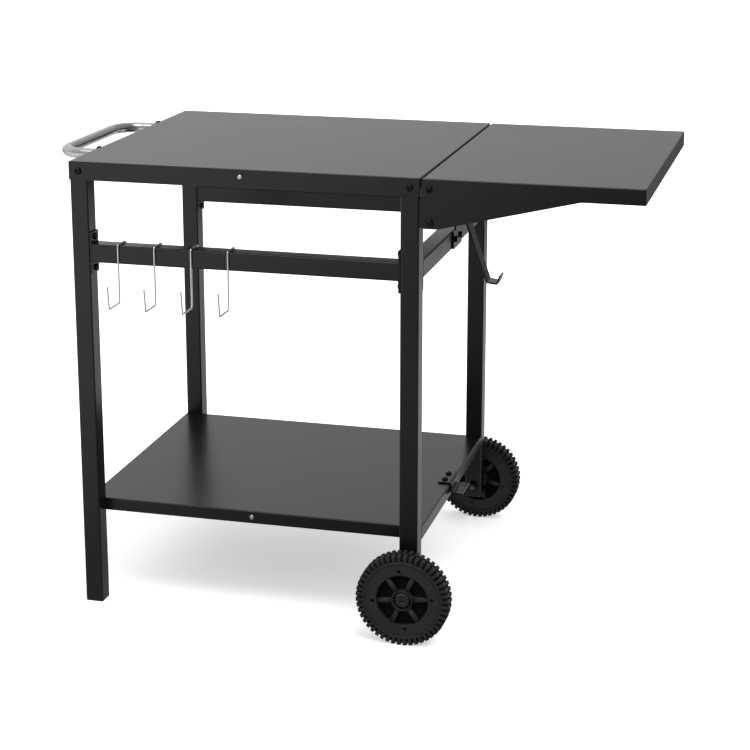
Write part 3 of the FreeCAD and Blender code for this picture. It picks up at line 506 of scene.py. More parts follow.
def corner_columns(centre_x, centre_y, first_angle):
    """Columns round one corner of the plan: a point and the way out."""
    columns = []
    for k in range(BEND_STEPS + 1):
        angle = math.radians(first_angle + 90 * k / BEND_STEPS)
        out = Vector((math.cos(angle), math.sin(angle), 0))
        columns.append((Vector((centre_x, centre_y, 0)) + out * BEND, out))
    return columns


def column_verts(shape, column, top, bottom):
    """The points of one column from the skirt's lower edge, round the bend, to the flat."""
    point, out = column
    steps = [(0.0, bottom)]
    steps += [(BEND * (1 - math.cos(a)), top - BEND * (1 - math.sin(a))) for a in quarter(BEND_STEPS)]
    return [shape.verts.new(point - out * inward + Vector((0, 0, height))) for inward, height in steps]


def join_columns(shape, first, second):
    """Faces between two neighbouring columns."""
    for low_a, high_a, low_b, high_b in zip(first, first[1:], second, second[1:]):
        shape.faces.new((low_a, low_b, high_b, high_a))


# %% Folded pans
def upward(shape):
    """Merges doubles and turns the skin so that its flat faces up."""
    outward(shape)
    flat = max(shape.faces, key=lambda face: face.calc_area() * abs(face.normal.z))
    if flat.normal.z < 0:
        bmesh.ops.reverse_faces(shape, faces=shape.faces)
    return shape


def thicken(piece, wall, offset):
    """Gives a skin its thickness: on the inside for an offset of -1, on both sides for 0."""
    solid = piece.modifiers.new("sheet", "SOLIDIFY")
    solid.thickness = wall
    solid.offset = offset
    solid.use_even_offset = True


def folded_sheet(name, skin):
    """Gives a folded skin its thickness and rounds its cut edges."""
    piece = new_piece(name, upward(skin), coat)
    thicken(piece, SHEET, -1)
    round_edges(piece, RIM_ROUND)
    return piece


def folded_pan(name):
    """A sheet folded down on all four sides, in the box of its solid."""
    low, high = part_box(name)
    skin = bmesh.new()
    corners = [(high.x - BEND, low.y + BEND, -90), (high.x - BEND, high.y - BEND, 0),
               (low.x + BEND, high.y - BEND, 90), (low.x + BEND, low.y + BEND, 180)]
    columns = []
    for corner in corners:
        columns += [column_verts(skin, column, high.z, low.z) for column in corner_columns(*corner)]
    for first, second in zip(columns, columns[1:] + columns[:1]):
        join_columns(skin, first, second)
    skin.faces.new([column[-1] for column in columns])
    return folded_sheet(name + "_sheet", skin)


for pan in ("main_top", "lower_shelf", "top_stiffener", "shelf_stiffener"):
    place(folded_pan(pan), "frame", "black_coat", pan)

# %% [markdown]
# ## Side table
# The side table is folded the same way, but on three sides, and its front and back skirts grow into deep gussets
# at the hinge. On the hinge side a narrow flange is folded down between two small relief cuts, as a folder
# needs them there. The columns follow the gusset's outline, so skirt and gusset stay one flat face.

# %% Side table
GUSSET_DEPTH = 78 * MM
GUSSET_FLAT = 23 * MM
GUSSET_RUN = 243 * MM
GUSSET_CORNER = 4 * MM
SIDE_SKIRT = 25 * MM
SEAM_FLANGE = 20 * MM
SEAM_FLANGE_END = 7 * MM


def folded_side_table():
    low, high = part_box("side_table")
    top = high.z
    skirt = top - SIDE_SKIRT
    gusset = top - GUSSET_DEPTH
    skin = bmesh.new()
    hinge_run = [(low.x + GUSSET_CORNER * (1 - math.cos(a)), gusset + GUSSET_CORNER * (1 - math.sin(a)))
                 for a in quarter(BEND_STEPS)]
    hinge_run += [(low.x + GUSSET_FLAT, gusset), (low.x + GUSSET_RUN, skirt)]
    columns = [((Vector((x, low.y, 0)), Vector((0, -1, 0))), bottom) for x, bottom in hinge_run]
    columns += [(column, skirt) for column in corner_columns(high.x - BEND, low.y + BEND, -90)]
    columns += [(column, skirt) for column in corner_columns(high.x - BEND, high.y - BEND, 0)]
    columns += [((Vector((x, high.y, 0)), Vector((0, 1, 0))), bottom) for x, bottom in reversed(hinge_run)]
    made = [column_verts(skin, column, top, bottom) for column, bottom in columns]
    for first, second in zip(made, made[1:]):
        join_columns(skin, first, second)
    flange_end = high.y - SEAM_FLANGE_END
    seam = [column_verts(skin, (Vector((low.x, y, 0)), Vector((-1, 0, 0))), top, top - SEAM_FLANGE)
            for y in (flange_end, -flange_end)]
    join_columns(skin, *seam)
    relief_cuts = [skin.verts.new((low.x, y, top)) for y in (flange_end, -flange_end)]
    skin.faces.new([column[-1] for column in made]
                   + [relief_cuts[0], seam[0][-1], seam[1][-1], relief_cuts[1]])
    return folded_sheet("side_table_sheet", skin)


place(folded_side_table(), "side_table", "black_coat", "side_table")

# %% [markdown]
# ## Legs and rails
# Legs and rails are square tube with rounded corners. A tube is one section carried along one axis, outside and
# inside, so it is closed and has a real wall. Each rail also has a plate on both ends for its bolts.

# %% Square tubes
TUBE_CORNER = 2.5 * MM
TUBE_WALL = 1.5 * MM
CORNER_STEPS = 5


def rounded_section(half_u, half_v, radius):
    """The outline of a rounded rectangle about its middle."""
    outline = []
    for sign_u, sign_v, first in ((1, 1, 0), (-1, 1, 90), (-1, -1, 180), (1, -1, 270)):
        for k in range(CORNER_STEPS + 1):
            angle = math.radians(first + 90 * k / CORNER_STEPS)
            outline.append((sign_u * (half_u - radius) + radius * math.cos(angle),
                            sign_v * (half_v - radius) + radius * math.sin(angle)))
    return outline


def add_ring(shape, outline, middle, axis, along):
    """A closed row of points across one axis."""
    u, v = [k for k in range(3) if k != axis]
    row = []
    for a, b in outline:
        point = Vector(middle)
        point[u] += a
        point[v] += b
        point[axis] = along
        row.append(shape.verts.new(point))
    return row


def join_rings(shape, rows, closed):
    """Faces between rows of points, and back to the first row if closed."""
    for first, second in zip(rows, rows[1:] + (rows[:1] if closed else [])):
        for k in range(len(first)):
            shape.faces.new((first[k - 1], first[k], second[k], second[k - 1]))


def add_tube(shape, low, high, axis):
    """A square tube with its wall, along one axis of its box."""
    middle = (low + high) / 2
    half_u, half_v = [(high[k] - low[k]) / 2 for k in range(3) if k != axis]
    outer = rounded_section(half_u, half_v, TUBE_CORNER)
    inner = rounded_section(half_u - TUBE_WALL, half_v - TUBE_WALL, TUBE_CORNER - TUBE_WALL)
    rows = [add_ring(shape, outline, middle, axis, along) for outline, along in
            ((outer, low[axis]), (outer, high[axis]), (inner, high[axis]), (inner, low[axis]))]
    join_rings(shape, rows, True)


# %% Legs and rails
PLATE_THICKNESS = 3 * MM
RAIL_HEIGHT = 30 * MM
RAIL_DEPTH = 30 * MM
RAIL_ROUND = 0.5 * MM
RAILS = {"rail_front": 0, "rail_back": 0, "rail_side": 1}


def square_leg(name):
    shape = bmesh.new()
    add_tube(shape, *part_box(name), 2)
    return rounded_piece(name + "_tube", outward(shape), coat, RIM_ROUND)


def add_block(shape, low, high):
    """A plain block between two corners."""
    stretch = Matrix.Translation((low + high) / 2) @ Matrix.Diagonal((*(high - low), 1))
    bmesh.ops.create_cube(shape, size=1, matrix=stretch)


def plated_rail(name, axis):
    """A rail tube with a plate on each end."""
    low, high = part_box(name)
    middle_z = (low.z + high.z) / 2
    tube_low = low.copy()
    tube_high = high.copy()
    tube_low[axis] += PLATE_THICKNESS
    tube_high[axis] -= PLATE_THICKNESS
    tube_low.z = middle_z - RAIL_HEIGHT / 2
    tube_high.z = middle_z + RAIL_HEIGHT / 2
    shape = bmesh.new()
    add_tube(shape, tube_low, tube_high, axis)
    for start in (low[axis], tube_high[axis]):
        plate_low = low.copy()
        plate_high = high.copy()
        plate_low[axis] = start
        plate_high[axis] = start + PLATE_THICKNESS
        add_block(shape, plate_low, plate_high)
    return rounded_piece(name + "_tube", outward(shape), coat, RAIL_ROUND)


for leg in ("leg_front_left", "leg_back_left", "leg_front_right", "leg_back_right"):
    place(square_leg(leg), "frame", "black_coat", leg)
for rail, axis in RAILS.items():
    place(plated_rail(rail, axis), "frame", "black_coat", rail)

# %% [markdown]
# ## Weld beads
# The rails are welded to their plates above and below. A weld is a row of overlapping drops, which is a shape
# that repeats along a line, so Geometry Nodes make it: the line is cut into even steps and each step gets a
# small drop. The lines of all rails are one mesh, because they ride on one body.


# %% Geometry trees
def begin_tree(name, inputs):
    """A geometry tree with named inputs. Gives the tree, its wires and the identifier of each input."""
    tree = bpy.data.node_groups.new(name, "GeometryNodeTree")
    tree.interface.new_socket(name="Geometry", in_out="OUTPUT", socket_type="NodeSocketGeometry")
    tree.interface.new_socket(name="Geometry", in_out="INPUT", socket_type="NodeSocketGeometry")
    keys = {}
    for label, kind in inputs.items():
        socket = tree.interface.new_socket(name=label, in_out="INPUT", socket_type="NodeSocket" + kind)
        keys[label] = socket.identifier
    entry = tree.nodes.new("NodeGroupInput")
    wires = {socket.name: Wire(tree, socket) for socket in entry.outputs if socket.name}
    print("tree", name, "with", ", ".join(inputs))
    return tree, wires, keys


def end_tree(tree, geometry, finish):
    """Realizes the copies, gives them their finish and closes the tree."""
    start = Wire(tree)
    real = start.node("GeometryNodeRealizeInstances", sockets={"Geometry": geometry})
    painted = start.node("GeometryNodeSetMaterial", sockets={"Geometry": real, "Material": finish})
    smooth = start.node("GeometryNodeSetShadeSmooth", sockets={0: painted})
    start.node("NodeGroupOutput", sockets={"Geometry": smooth})


def grow(piece, tree, keys, values):
    """Hangs a tree on a piece and sets its inputs by their identifiers."""
    modifier = piece.modifiers.new(tree.name, "NODES")
    modifier.node_group = tree
    for label, value in values.items():
        modifier[keys[label]] = value


# %% Weld beads
BEAD_RADIUS = 1.3 * MM
BEAD_SPACING = 1.5 * MM
BEAD_SMALLEST = (0.85, 0.85, 0.85)
BEAD_LARGEST = (1.15, 1.15, 1.15)
BEAD_SEED = 7


def weld_tree():
    tree, wires, keys = begin_tree("weld bead", {"Drop radius": "Float", "Drop spacing": "Float",
                                                 "Finish": "Material"})
    start = Wire(tree)
    line = start.node("GeometryNodeMeshToCurve", sockets={"Mesh": wires["Geometry"]})
    steps = start.node("GeometryNodeResampleCurve", {"mode": "LENGTH"},
                       {"Curve": line, "Length": wires["Drop spacing"]})
    drop = start.node("GeometryNodeMeshIcoSphere", sockets={"Radius": wires["Drop radius"], "Subdivisions": 2})
    spread = start.node("FunctionNodeRandomValue", {"data_type": "FLOAT_VECTOR"},
                        {"Min": BEAD_SMALLEST, "Max": BEAD_LARGEST, "Seed": BEAD_SEED})
    drops = start.node("GeometryNodeInstanceOnPoints",
                       sockets={"Points": steps, "Instance": drop, "Scale": spread})
    end_tree(tree, drops, wires["Finish"])
    return tree, keys


def weld_lines():
    """Both ends of the short lines above and below each rail, where tube and plate meet."""
    points = []
    for rail, axis in RAILS.items():
        low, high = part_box(rail)
        across = 1 - axis
        for along in (low[axis] + PLATE_THICKNESS, high[axis] - PLATE_THICKNESS):
            for rise in (-RAIL_HEIGHT / 2, RAIL_HEIGHT / 2):
                for edge in (low[across] + TUBE_CORNER, high[across] - TUBE_CORNER):
                    point = Vector((0, 0, (low.z + high.z) / 2 + rise))
                    point[axis] = along
                    point[across] = edge
                    points.append(point)
    return points


line_ends = weld_lines()
beads = add_points("weld_beads", line_ends, [(k, k + 1) for k in range(0, len(line_ends), 2)])
grow(beads, *weld_tree(), {"Drop radius": BEAD_RADIUS, "Drop spacing": BEAD_SPACING, "Finish": coat})
place(beads, "frame", "black_coat")

# %% [markdown]
# ## Plugs
# Each leg ends in a plastic plug: a head as wide as the tube and a stem that grips inside. A stack of rounded
# sections gives both, with a chamfer round the foot so that it does not look cut off.

# %% Plugs
FOOT_CHAMFER = 0.9 * MM
PLUG_HEAD = 3 * MM
PLUG_PLAY = 0.1 * MM
MOULD_ROUND = 0.3 * MM


def close_ends(shape, rows):
    """Joins a stack of rows and closes its first and last one."""
    join_rings(shape, rows, False)
    shape.faces.new(rows[0])
    shape.faces.new(rows[-1])


def leg_plug(name):
    low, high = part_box(name)
    middle = (low + high) / 2
    half = (high.x - low.x) / 2
    stem = half - TUBE_WALL - PLUG_PLAY
    stem_corner = TUBE_CORNER - TUBE_WALL
    shape = bmesh.new()
    levels = [(half - FOOT_CHAMFER, TUBE_CORNER - FOOT_CHAMFER, low.z), (half, TUBE_CORNER, low.z + FOOT_CHAMFER),
              (half, TUBE_CORNER, low.z + PLUG_HEAD), (stem, stem_corner, low.z + PLUG_HEAD),
              (stem, stem_corner, high.z)]
    close_ends(shape, [add_ring(shape, rounded_section(width, width, corner), middle, 2, level)
                       for width, corner, level in levels])
    return rounded_piece(name + "_moulding", outward(shape), plastic_black, MOULD_ROUND)


for plug in ("foot_plug_front", "foot_plug_back", "end_plug_front", "end_plug_back"):
    place(leg_plug(plug), "frame", "black_plastic", plug)

# %% [markdown]
# ## Handle and wire hooks
# The handle is a tube and the hooks are wire, both bent round a former, so every bend of one bar has the same
# radius. Both are a line with rounded corners that carries a circle. One tree does that: Fillet Curve makes the
# bends and Curve to Mesh the bar. The mesh that goes in holds only the corner points.


# %% The bent bar tree
def bar_tree():
    tree, wires, keys = begin_tree("bent bar", {"Bar diameter": "Float", "Bend radius": "Float",
                                                "Bend steps": "Int", "Sides": "Int", "Finish": "Material"})
    start = Wire(tree)
    line = start.node("GeometryNodeMeshToCurve", sockets={"Mesh": wires["Geometry"]})
    bent = start.node("GeometryNodeFilletCurve", {"mode": "POLY"},
                      {"Curve": line, "Radius": wires["Bend radius"], "Count": wires["Bend steps"]})
    circle = start.node("GeometryNodeCurvePrimitiveCircle",
                        sockets={"Radius": wires["Bar diameter"] * 0.5, "Resolution": wires["Sides"]})
    bar = start.node("GeometryNodeCurveToMesh",
                     sockets={"Curve": bent, "Profile Curve": circle, "Fill Caps": True})
    end_tree(tree, bar, wires["Finish"])
    return tree, keys


bent_bar, bar_keys = bar_tree()


def bar_along(name, points, finish, end_round, sizes):
    """A round bar along corner points."""
    piece = add_points(name, points, [(k, k + 1) for k in range(len(points) - 1)])
    grow(piece, bent_bar, bar_keys, {**sizes, "Finish": finish})
    settle(piece)
    round_edges(piece, end_round)
    return piece


# %% Handle
HANDLE_TUBE = 18 * MM
HANDLE_BEND = 42 * MM
HANDLE_END = 0.4 * MM
HANDLE_SIZES = {"Bar diameter": HANDLE_TUBE, "Bend radius": HANDLE_BEND, "Bend steps": 14, "Sides": 32}
handle_low, handle_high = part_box("handle")
bar_x = handle_low.x + HANDLE_TUBE / 2
arm = handle_high.y - HANDLE_TUBE / 2
level = (handle_low.z + handle_high.z) / 2
handle_line = [(x, y, level) for x, y in ((handle_high.x, -arm), (bar_x, -arm), (bar_x, arm), (handle_high.x, arm))]
place(bar_along("handle_bar", handle_line, bright_tube, HANDLE_END, HANDLE_SIZES), "frame", "chrome", "handle")

# %% Wire hooks
HOOK_WIRE = 3 * MM
HOOK_PLAY = 0.3 * MM
HOOK_OFFSET = HOOK_PLAY + HOOK_WIRE / 2
HOOK_BEND = TUBE_CORNER + HOOK_OFFSET
HOOK_BACK_DROP = 12 * MM
HOOK_THROAT = 44 * MM
HOOK_TIP_LEAN = 5 * MM
HOOK_TIP = 38 * MM
HOOK_END = 0.5 * MM
HOOK_SIZES = {"Bar diameter": HOOK_WIRE, "Bend radius": HOOK_BEND, "Bend steps": 6, "Sides": 16}
for k in range(1, 5):
    hook_name = "wire_hook_" + str(k)
    low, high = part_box(hook_name)
    x = (low.x + high.x) / 2
    crown = high.z - HOOK_WIRE / 2
    bottom = low.z + HOOK_WIRE / 2
    back = high.y - HOOK_WIRE / 2
    front = back - 2 * HOOK_OFFSET - RAIL_DEPTH
    throat = front - HOOK_THROAT
    hook_line = [(x, back, crown - HOOK_BACK_DROP), (x, back, crown), (x, front, crown), (x, front, bottom),
                 (x, throat, bottom), (x, throat - HOOK_TIP_LEAN, bottom + HOOK_TIP)]
    hook = bar_along(hook_name + "_bar", hook_line, bright_zinc, HOOK_END, HOOK_SIZES)
    place(hook, "hook_" + str(k), "zinc", hook_name)

# %% [markdown]
# ## Turned pieces
# Cover rings, spacers, wheel bodies and tyres are round about an axle. An outline of radius and distance along
# the axle is turned in even steps. The outline is closed, so the turned shape is a closed solid too.


# %% Turning helper
def turned(outline, centre, axis, steps, closed=True):
    """Turns an outline of (radius, along) about an axis through a point."""
    u, v = [k for k in range(3) if k != axis]
    shape = bmesh.new()
    rows = []
    for radius, along in outline:
        row = []
        for k in range(steps):
            angle = 2 * math.pi * k / steps
            point = Vector(centre)
            point[axis] += along
            point[u] += radius * math.cos(angle)
            point[v] += radius * math.sin(angle)
            row.append(shape.verts.new(point))
        rows.append(row)
    join_rings(shape, rows, closed)
    return outward(shape)


# %% Cover rings
RING_STEPS = 48
RING_TRIM = 1.5 * MM
RING_EDGE = 1.8 * MM
RING_EDGE_STEPS = 5
RING_MOUTH = (1.2 * MM, 0.6 * MM)
RING_ROUND = 0.25 * MM
for name in SIDES:
    low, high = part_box("handle_flange_" + name)
    centre = Vector((high.x, (low.y + high.y) / 2, (low.z + high.z) / 2))
    outer = (high.y - low.y) / 2 - RING_TRIM
    thick = high.x - low.x
    bore = HANDLE_TUBE / 2
    outline = [(bore, 0), (outer, 0)]
    outline += [(outer - RING_EDGE + RING_EDGE * math.cos(a), -thick + RING_EDGE - RING_EDGE * math.sin(a))
                for a in quarter(RING_EDGE_STEPS)]
    outline += [(bore + RING_MOUTH[0], -thick), (bore, -thick + RING_MOUTH[1])]
    ring = rounded_piece("cover_ring_" + name, turned(outline, centre, 0, RING_STEPS), cover_black, RING_ROUND)
    place(ring, "frame", "flange_black", "handle_flange_" + name)

# %% Spacers
SPACER_BORE = 10.5 * MM
SPACER_WAIST = 1.2 * MM
SPACER_RIM = 2.5 * MM
SPACER_SLOPE = 3.7 * MM
for name in SIDES:
    low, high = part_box("axle_spacer_" + name)
    half = (high.y - low.y) / 2
    outer = (high.x - low.x) / 2
    waist = outer - SPACER_WAIST
    bore = SPACER_BORE / 2
    outline = [(bore, -half), (outer, -half), (outer, -half + SPACER_RIM), (waist, -half + SPACER_SLOPE),
               (waist, half - SPACER_SLOPE), (outer, half - SPACER_RIM), (outer, half), (bore, half)]
    spacer = rounded_piece("axle_spacer_" + name + "_turning", turned(outline, (low + high) / 2, 1, RING_STEPS),
                           plastic_black, MOULD_ROUND)
    place(spacer, "frame", "black_plastic", "axle_spacer_" + name)

# %% [markdown]
# ## Wheels
# A wheel is a moulded body in a lugged tyre. Spokes and lugs repeat round the axle, so one tree serves both: it
# turns copies of a pattern piece about the axle by even steps, and can turn every second copy end for end.
# The tyre needs that for its two staggered rows. Four small holes in the ring are cut with a Boolean.


# %% The tree that copies round an axle
def copies_of(pattern, points, rotation):
    """Copies of a pattern object on points, each turned its own way."""
    shape = pattern.node("GeometryNodeObjectInfo", sockets={"Object": pattern, "As Instance": True}, out="Geometry")
    return pattern.node("GeometryNodeInstanceOnPoints",
                        sockets={"Points": points, "Instance": shape, "Rotation": rotation})


def axle_tree():
    tree, wires, keys = begin_tree("round the axle", {"Pattern": "Object", "Copies": "Int", "Turn": "Float",
                                                      "Swap sides": "Float", "Centre": "Vector",
                                                      "Finish": "Material"})
    start = Wire(tree)
    spots = start.node("GeometryNodePoints", sockets={"Count": wires["Copies"], "Position": wires["Centre"]})
    index = start.node("GeometryNodeInputIndex")
    step = start.maths("DIVIDE", 2 * math.pi, wires["Copies"])
    spin = start.node("ShaderNodeCombineXYZ", sockets={"Y": index * step + wires["Turn"]})
    swap = start.node("ShaderNodeCombineXYZ", sockets={"Z": (index % 2) * wires["Swap sides"] * math.pi})
    facing = start.node("FunctionNodeRotateRotation", {"rotation_space": "LOCAL"},
                        {"Rotation": spin, "Rotate By": swap})
    copies = copies_of(wires["Pattern"], spots, facing)
    whole = start.node("GeometryNodeJoinGeometry", sockets={"Geometry": wires["Geometry"]})
    tree.links.new(copies.socket, whole.socket.node.inputs[0])
    end_tree(tree, whole, wires["Finish"])
    return tree, keys


round_axle, axle_keys = axle_tree()

# %% Section of a wheel body
WHEEL_WIDTH = 30 * MM
TYRE_BORE = 122 * MM
RING_INNER = 85 * MM
RING_INSET = 1.5 * MM
WEB_INSET = 13 * MM
WEB_THICKNESS = 4 * MM
HUB = 34 * MM
HUB_RECESS = 30 * MM
HUB_RECESS_DEPTH = 8 * MM
AXLE_BORE = 10.2 * MM
DRAFT = 0.8 * MM
RECESS_DRAFT = 0.3 * MM
WEB_FILLET = (2 * MM, 1.5 * MM)


def body_outline():
    """Half section of the wheel body: radius, and distance along the axle from the middle to the outer face."""
    ring_half = WHEEL_WIDTH / 2 - RING_INSET
    hub_half = WHEEL_WIDTH / 2
    web_low = WEB_INSET - hub_half
    web = web_low + WEB_THICKNESS
    fillet = web + WEB_FILLET[1]
    recess = hub_half - HUB_RECESS_DEPTH
    rim, ring, hub, axle = TYRE_BORE / 2, RING_INNER / 2, HUB / 2, AXLE_BORE / 2
    inner_side = [(axle, -hub_half), (hub, -hub_half), (hub + DRAFT, web_low), (ring - DRAFT, web_low),
                  (ring, -ring_half), (rim, -ring_half)]
    outer_side = [(rim, ring_half), (ring, ring_half), (ring - DRAFT, fillet), (ring - WEB_FILLET[0], web),
                  (hub + WEB_FILLET[0], web), (hub + DRAFT, fillet), (hub, hub_half), (HUB_RECESS / 2, hub_half),
                  (HUB_RECESS / 2 - RECESS_DRAFT, recess), (axle, recess)]
    return inner_side + outer_side


# %% Wheel bodies
RING_HOLE = 6 * MM
RING_HOLE_CIRCLE = 97 * MM
RING_HOLE_SIDES = 20
SPOKE_COUNT = 6
SPOKE_WIDTH = 8 * MM
SPOKE_ROUND = 2.3 * MM
SPOKE_INSET = 3 * MM
SPOKE_GRIP = 1 * MM
WHEEL_TURN = {"front": math.radians(-6), "back": math.radians(13)}
WHEEL_STEPS = 96
WHEEL_ROUND = 0.6 * MM


def spoke_pattern():
    """One spoke about the origin, along X."""
    shape = bmesh.new()
    section = rounded_section(WHEEL_WIDTH / 2 - SPOKE_INSET, SPOKE_WIDTH / 2, SPOKE_ROUND)
    close_ends(shape, [add_ring(shape, section, Vector((0, 0, 0)), 0, along)
                       for along in (HUB / 2 - SPOKE_GRIP, RING_INNER / 2 + SPOKE_GRIP)])
    return new_piece("spoke_pattern", outward(shape), plastic_black)


def hole_cutter(centre, turn):
    """The four small holes of a ring, as pins to cut with."""
    shape = bmesh.new()
    for k in range(4):
        angle = turn + math.pi / 2 * k
        spot = Vector((math.cos(angle), 0, -math.sin(angle))) * (RING_HOLE_CIRCLE / 2)
        pin = Matrix.Translation(centre + spot) @ Matrix.Rotation(math.pi / 2, 4, "X")
        bmesh.ops.create_cone(shape, cap_ends=True, segments=RING_HOLE_SIDES, radius1=RING_HOLE / 2,
                              radius2=RING_HOLE / 2, depth=2 * WHEEL_WIDTH, matrix=pin)
    return new_piece("hole_cutter", shape, plastic_black)


def cut_away(piece, cutter, edge):
    """Cuts one shape out of a piece, rounds the edges and drops the cutter."""
    cut = piece.modifiers.new("cut", "BOOLEAN")
    cut.object = cutter
    cut.solver = "EXACT"
    round_edges(piece, edge)
    settle(piece)
    bpy.data.objects.remove(cutter)
    return piece


spoke = spoke_pattern()
for name, side in SIDES.items():
    low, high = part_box("wheel_" + name)
    centre = (low + high) / 2
    turn = WHEEL_TURN[name]
    outline = [(radius, side * along) for radius, along in body_outline()]
    body = new_piece("wheel_body_" + name, turned(outline, centre, 1, WHEEL_STEPS), plastic_black)
    cut_away(body, hole_cutter(centre, turn), WHEEL_ROUND)
    grow(body, round_axle, axle_keys, {"Pattern": spoke, "Copies": SPOKE_COUNT, "Turn": turn, "Swap sides": 0.0,
                                       "Centre": centre, "Finish": plastic_black})
    place(body, name + "_wheel", "black_plastic", "wheel_" + name)
bpy.data.objects.remove(spoke)

# %% [markdown]
# ### Tyres
# The tyre's side wall is plain next to the wheel body. Beyond that band, the lugs stand as ribs with slots
# between them, and run over the shoulder onto the tread. One lug is a small block with that bent outline, drawn
# in towards its two flanks so that it looks rounded. There are 48 in each row, so it has few faces.

# %% Section of a tyre
WHEEL_DIAMETER = 152 * MM
LUG_HEIGHT = 3 * MM
SIDE_RIB = 2.2 * MM
SIDE_BAND = 4 * MM
BAND_STEP = 0.6 * MM
BORE_EDGE = 0.8 * MM
SHOULDER = 2.5 * MM
SHOULDER_STEPS = 4


def tyre_outline():
    """Section of the tyre under its lugs."""
    bore = TYRE_BORE / 2
    crown = WHEEL_DIAMETER / 2 - LUG_HEIGHT
    face = WHEEL_WIDTH / 2
    half = face - SIDE_RIB
    band = bore + SIDE_BAND
    rise = [(bore, -face + BORE_EDGE), (bore + BORE_EDGE, -face), (band, -face), (band + BAND_STEP, -half),
            (crown - SHOULDER, -half)]
    bend = [(crown - SHOULDER + SHOULDER * math.sin(a), -half + SHOULDER - SHOULDER * math.cos(a))
            for a in quarter(SHOULDER_STEPS)[1:]]
    left = rise + bend
    return left + [(radius, -along) for radius, along in reversed(left)]


# %% Lugs and tyres
LUG_COUNT = 48
LUG_SHARE = 0.62
LUG_GROOVE = 3 * MM
LUG_ROWS = ((-1, 0.82), (-0.8, 0.96), (-0.45, 1.0), (0.45, 1.0), (0.8, 0.96), (1, 0.82))
LUG_HEART = 0.7
LUG_SINK = 0.4 * MM
LUG_NIP = 0.5 * MM
LUG_EASE = 0.6 * MM
LUG_LIP = 0.8 * MM
LUG_SHOULDER = (1.6 * MM, 1.8 * MM)


def lug_outline():
    """The bent outline of a lug, and the radius under which it is sunk in the tyre."""
    top = WHEEL_DIAMETER / 2
    face = WHEEL_WIDTH / 2
    root = TYRE_BORE / 2 + SIDE_BAND
    groove = LUG_GROOVE / 2
    inside = top - LUG_HEIGHT - LUG_EASE
    sunk = face - SIDE_RIB - LUG_SINK
    side_rib = [(root - LUG_LIP, sunk), (root - LUG_NIP, face - LUG_EASE), (root + LUG_EASE, face),
                (top - LUG_SHOULDER[0], face), (top - LUG_NIP, face - LUG_EASE), (top, face - LUG_SHOULDER[1])]
    tread = [(top, groove + LUG_LIP), (top - LUG_LIP, groove), (inside, groove), (inside, sunk)]
    return side_rib + tread, inside


def lug_pattern():
    """One lug about the origin, standing on +X, on the side of +Y."""
    outline, inside = lug_outline()
    half = LUG_SHARE * math.pi / LUG_COUNT
    middle = Vector((WHEEL_DIAMETER / 2 - LUG_HEIGHT, WHEEL_WIDTH / 2 * LUG_HEART))
    shape = bmesh.new()
    rows = []
    for share, draw in LUG_ROWS:
        row = []
        for radius, along in outline:
            drawn = middle + (Vector((radius, along)) - middle) * (draw if radius > inside else 1.0)
            angle = half * share
            row.append(shape.verts.new((drawn.x * math.cos(angle), drawn.y, drawn.x * math.sin(angle))))
        rows.append(row)
    close_ends(shape, rows)
    return new_piece("lug_pattern", outward(shape), tread_black)


lug = lug_pattern()
for name in SIDES:
    low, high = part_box("tyre_" + name)
    centre = (low + high) / 2
    tyre = new_piece("tyre_" + name + "_moulding", turned(tyre_outline(), centre, 1, 2 * LUG_COUNT), tread_black)
    grow(tyre, round_axle, axle_keys, {"Pattern": lug, "Copies": 2 * LUG_COUNT, "Turn": 0.0, "Swap sides": 1.0,
                                       "Centre": centre, "Finish": tread_black})
    place(tyre, name + "_wheel", "tyre", "tyre_" + name)
bpy.data.objects.remove(lug)

# %% [markdown]
# ## Gas-bottle hook and stop
# Both are flat strip steel, bent in a press. A strip is a line of points with an arc at each bend, drawn out to
# its width, then given its thickness on both sides of the line. The hook's foot is wider, where its bolts are.

# %% Bent strips
STRIP_STEPS = 5
STRIP_THICKNESS = 3 * MM
STRIP_ROUND = 0.45 * MM


def rounded_line(points, radius):
    """Straight runs through the points, with an arc at each inner point."""
    line = [Vector(points[0])]
    for before, corner, after in zip(points, points[1:], points[2:]):
        corner = Vector(corner)
        back = (Vector(before) - corner).normalized()
        on = (Vector(after) - corner).normalized()
        half = back.angle(on) / 2
        trim = radius / math.tan(half)
        heart = corner + (back + on).normalized() * (radius / math.sin(half))
        first = corner + back * trim - heart
        last = corner + on * trim - heart
        for k in range(STRIP_STEPS + 1):
            line.append(heart + first.slerp(last, k / STRIP_STEPS).normalized() * radius)
    line.append(Vector(points[-1]))
    return line


def strip_rows(shape, line, half_width):
    """The two edges of a strip along a line, and the faces between them."""
    rows = [[shape.verts.new(point + Vector((0, y, 0))) for y in (-half_width, half_width)] for point in line]
    for first, second in zip(rows, rows[1:]):
        shape.faces.new((first[0], first[1], second[1], second[0]))
    return rows


def strip_piece(name, shape):
    bmesh.ops.recalc_face_normals(shape, faces=shape.faces)
    piece = new_piece(name, shape, coat)
    thicken(piece, STRIP_THICKNESS, 0)
    round_edges(piece, STRIP_ROUND)
    return piece


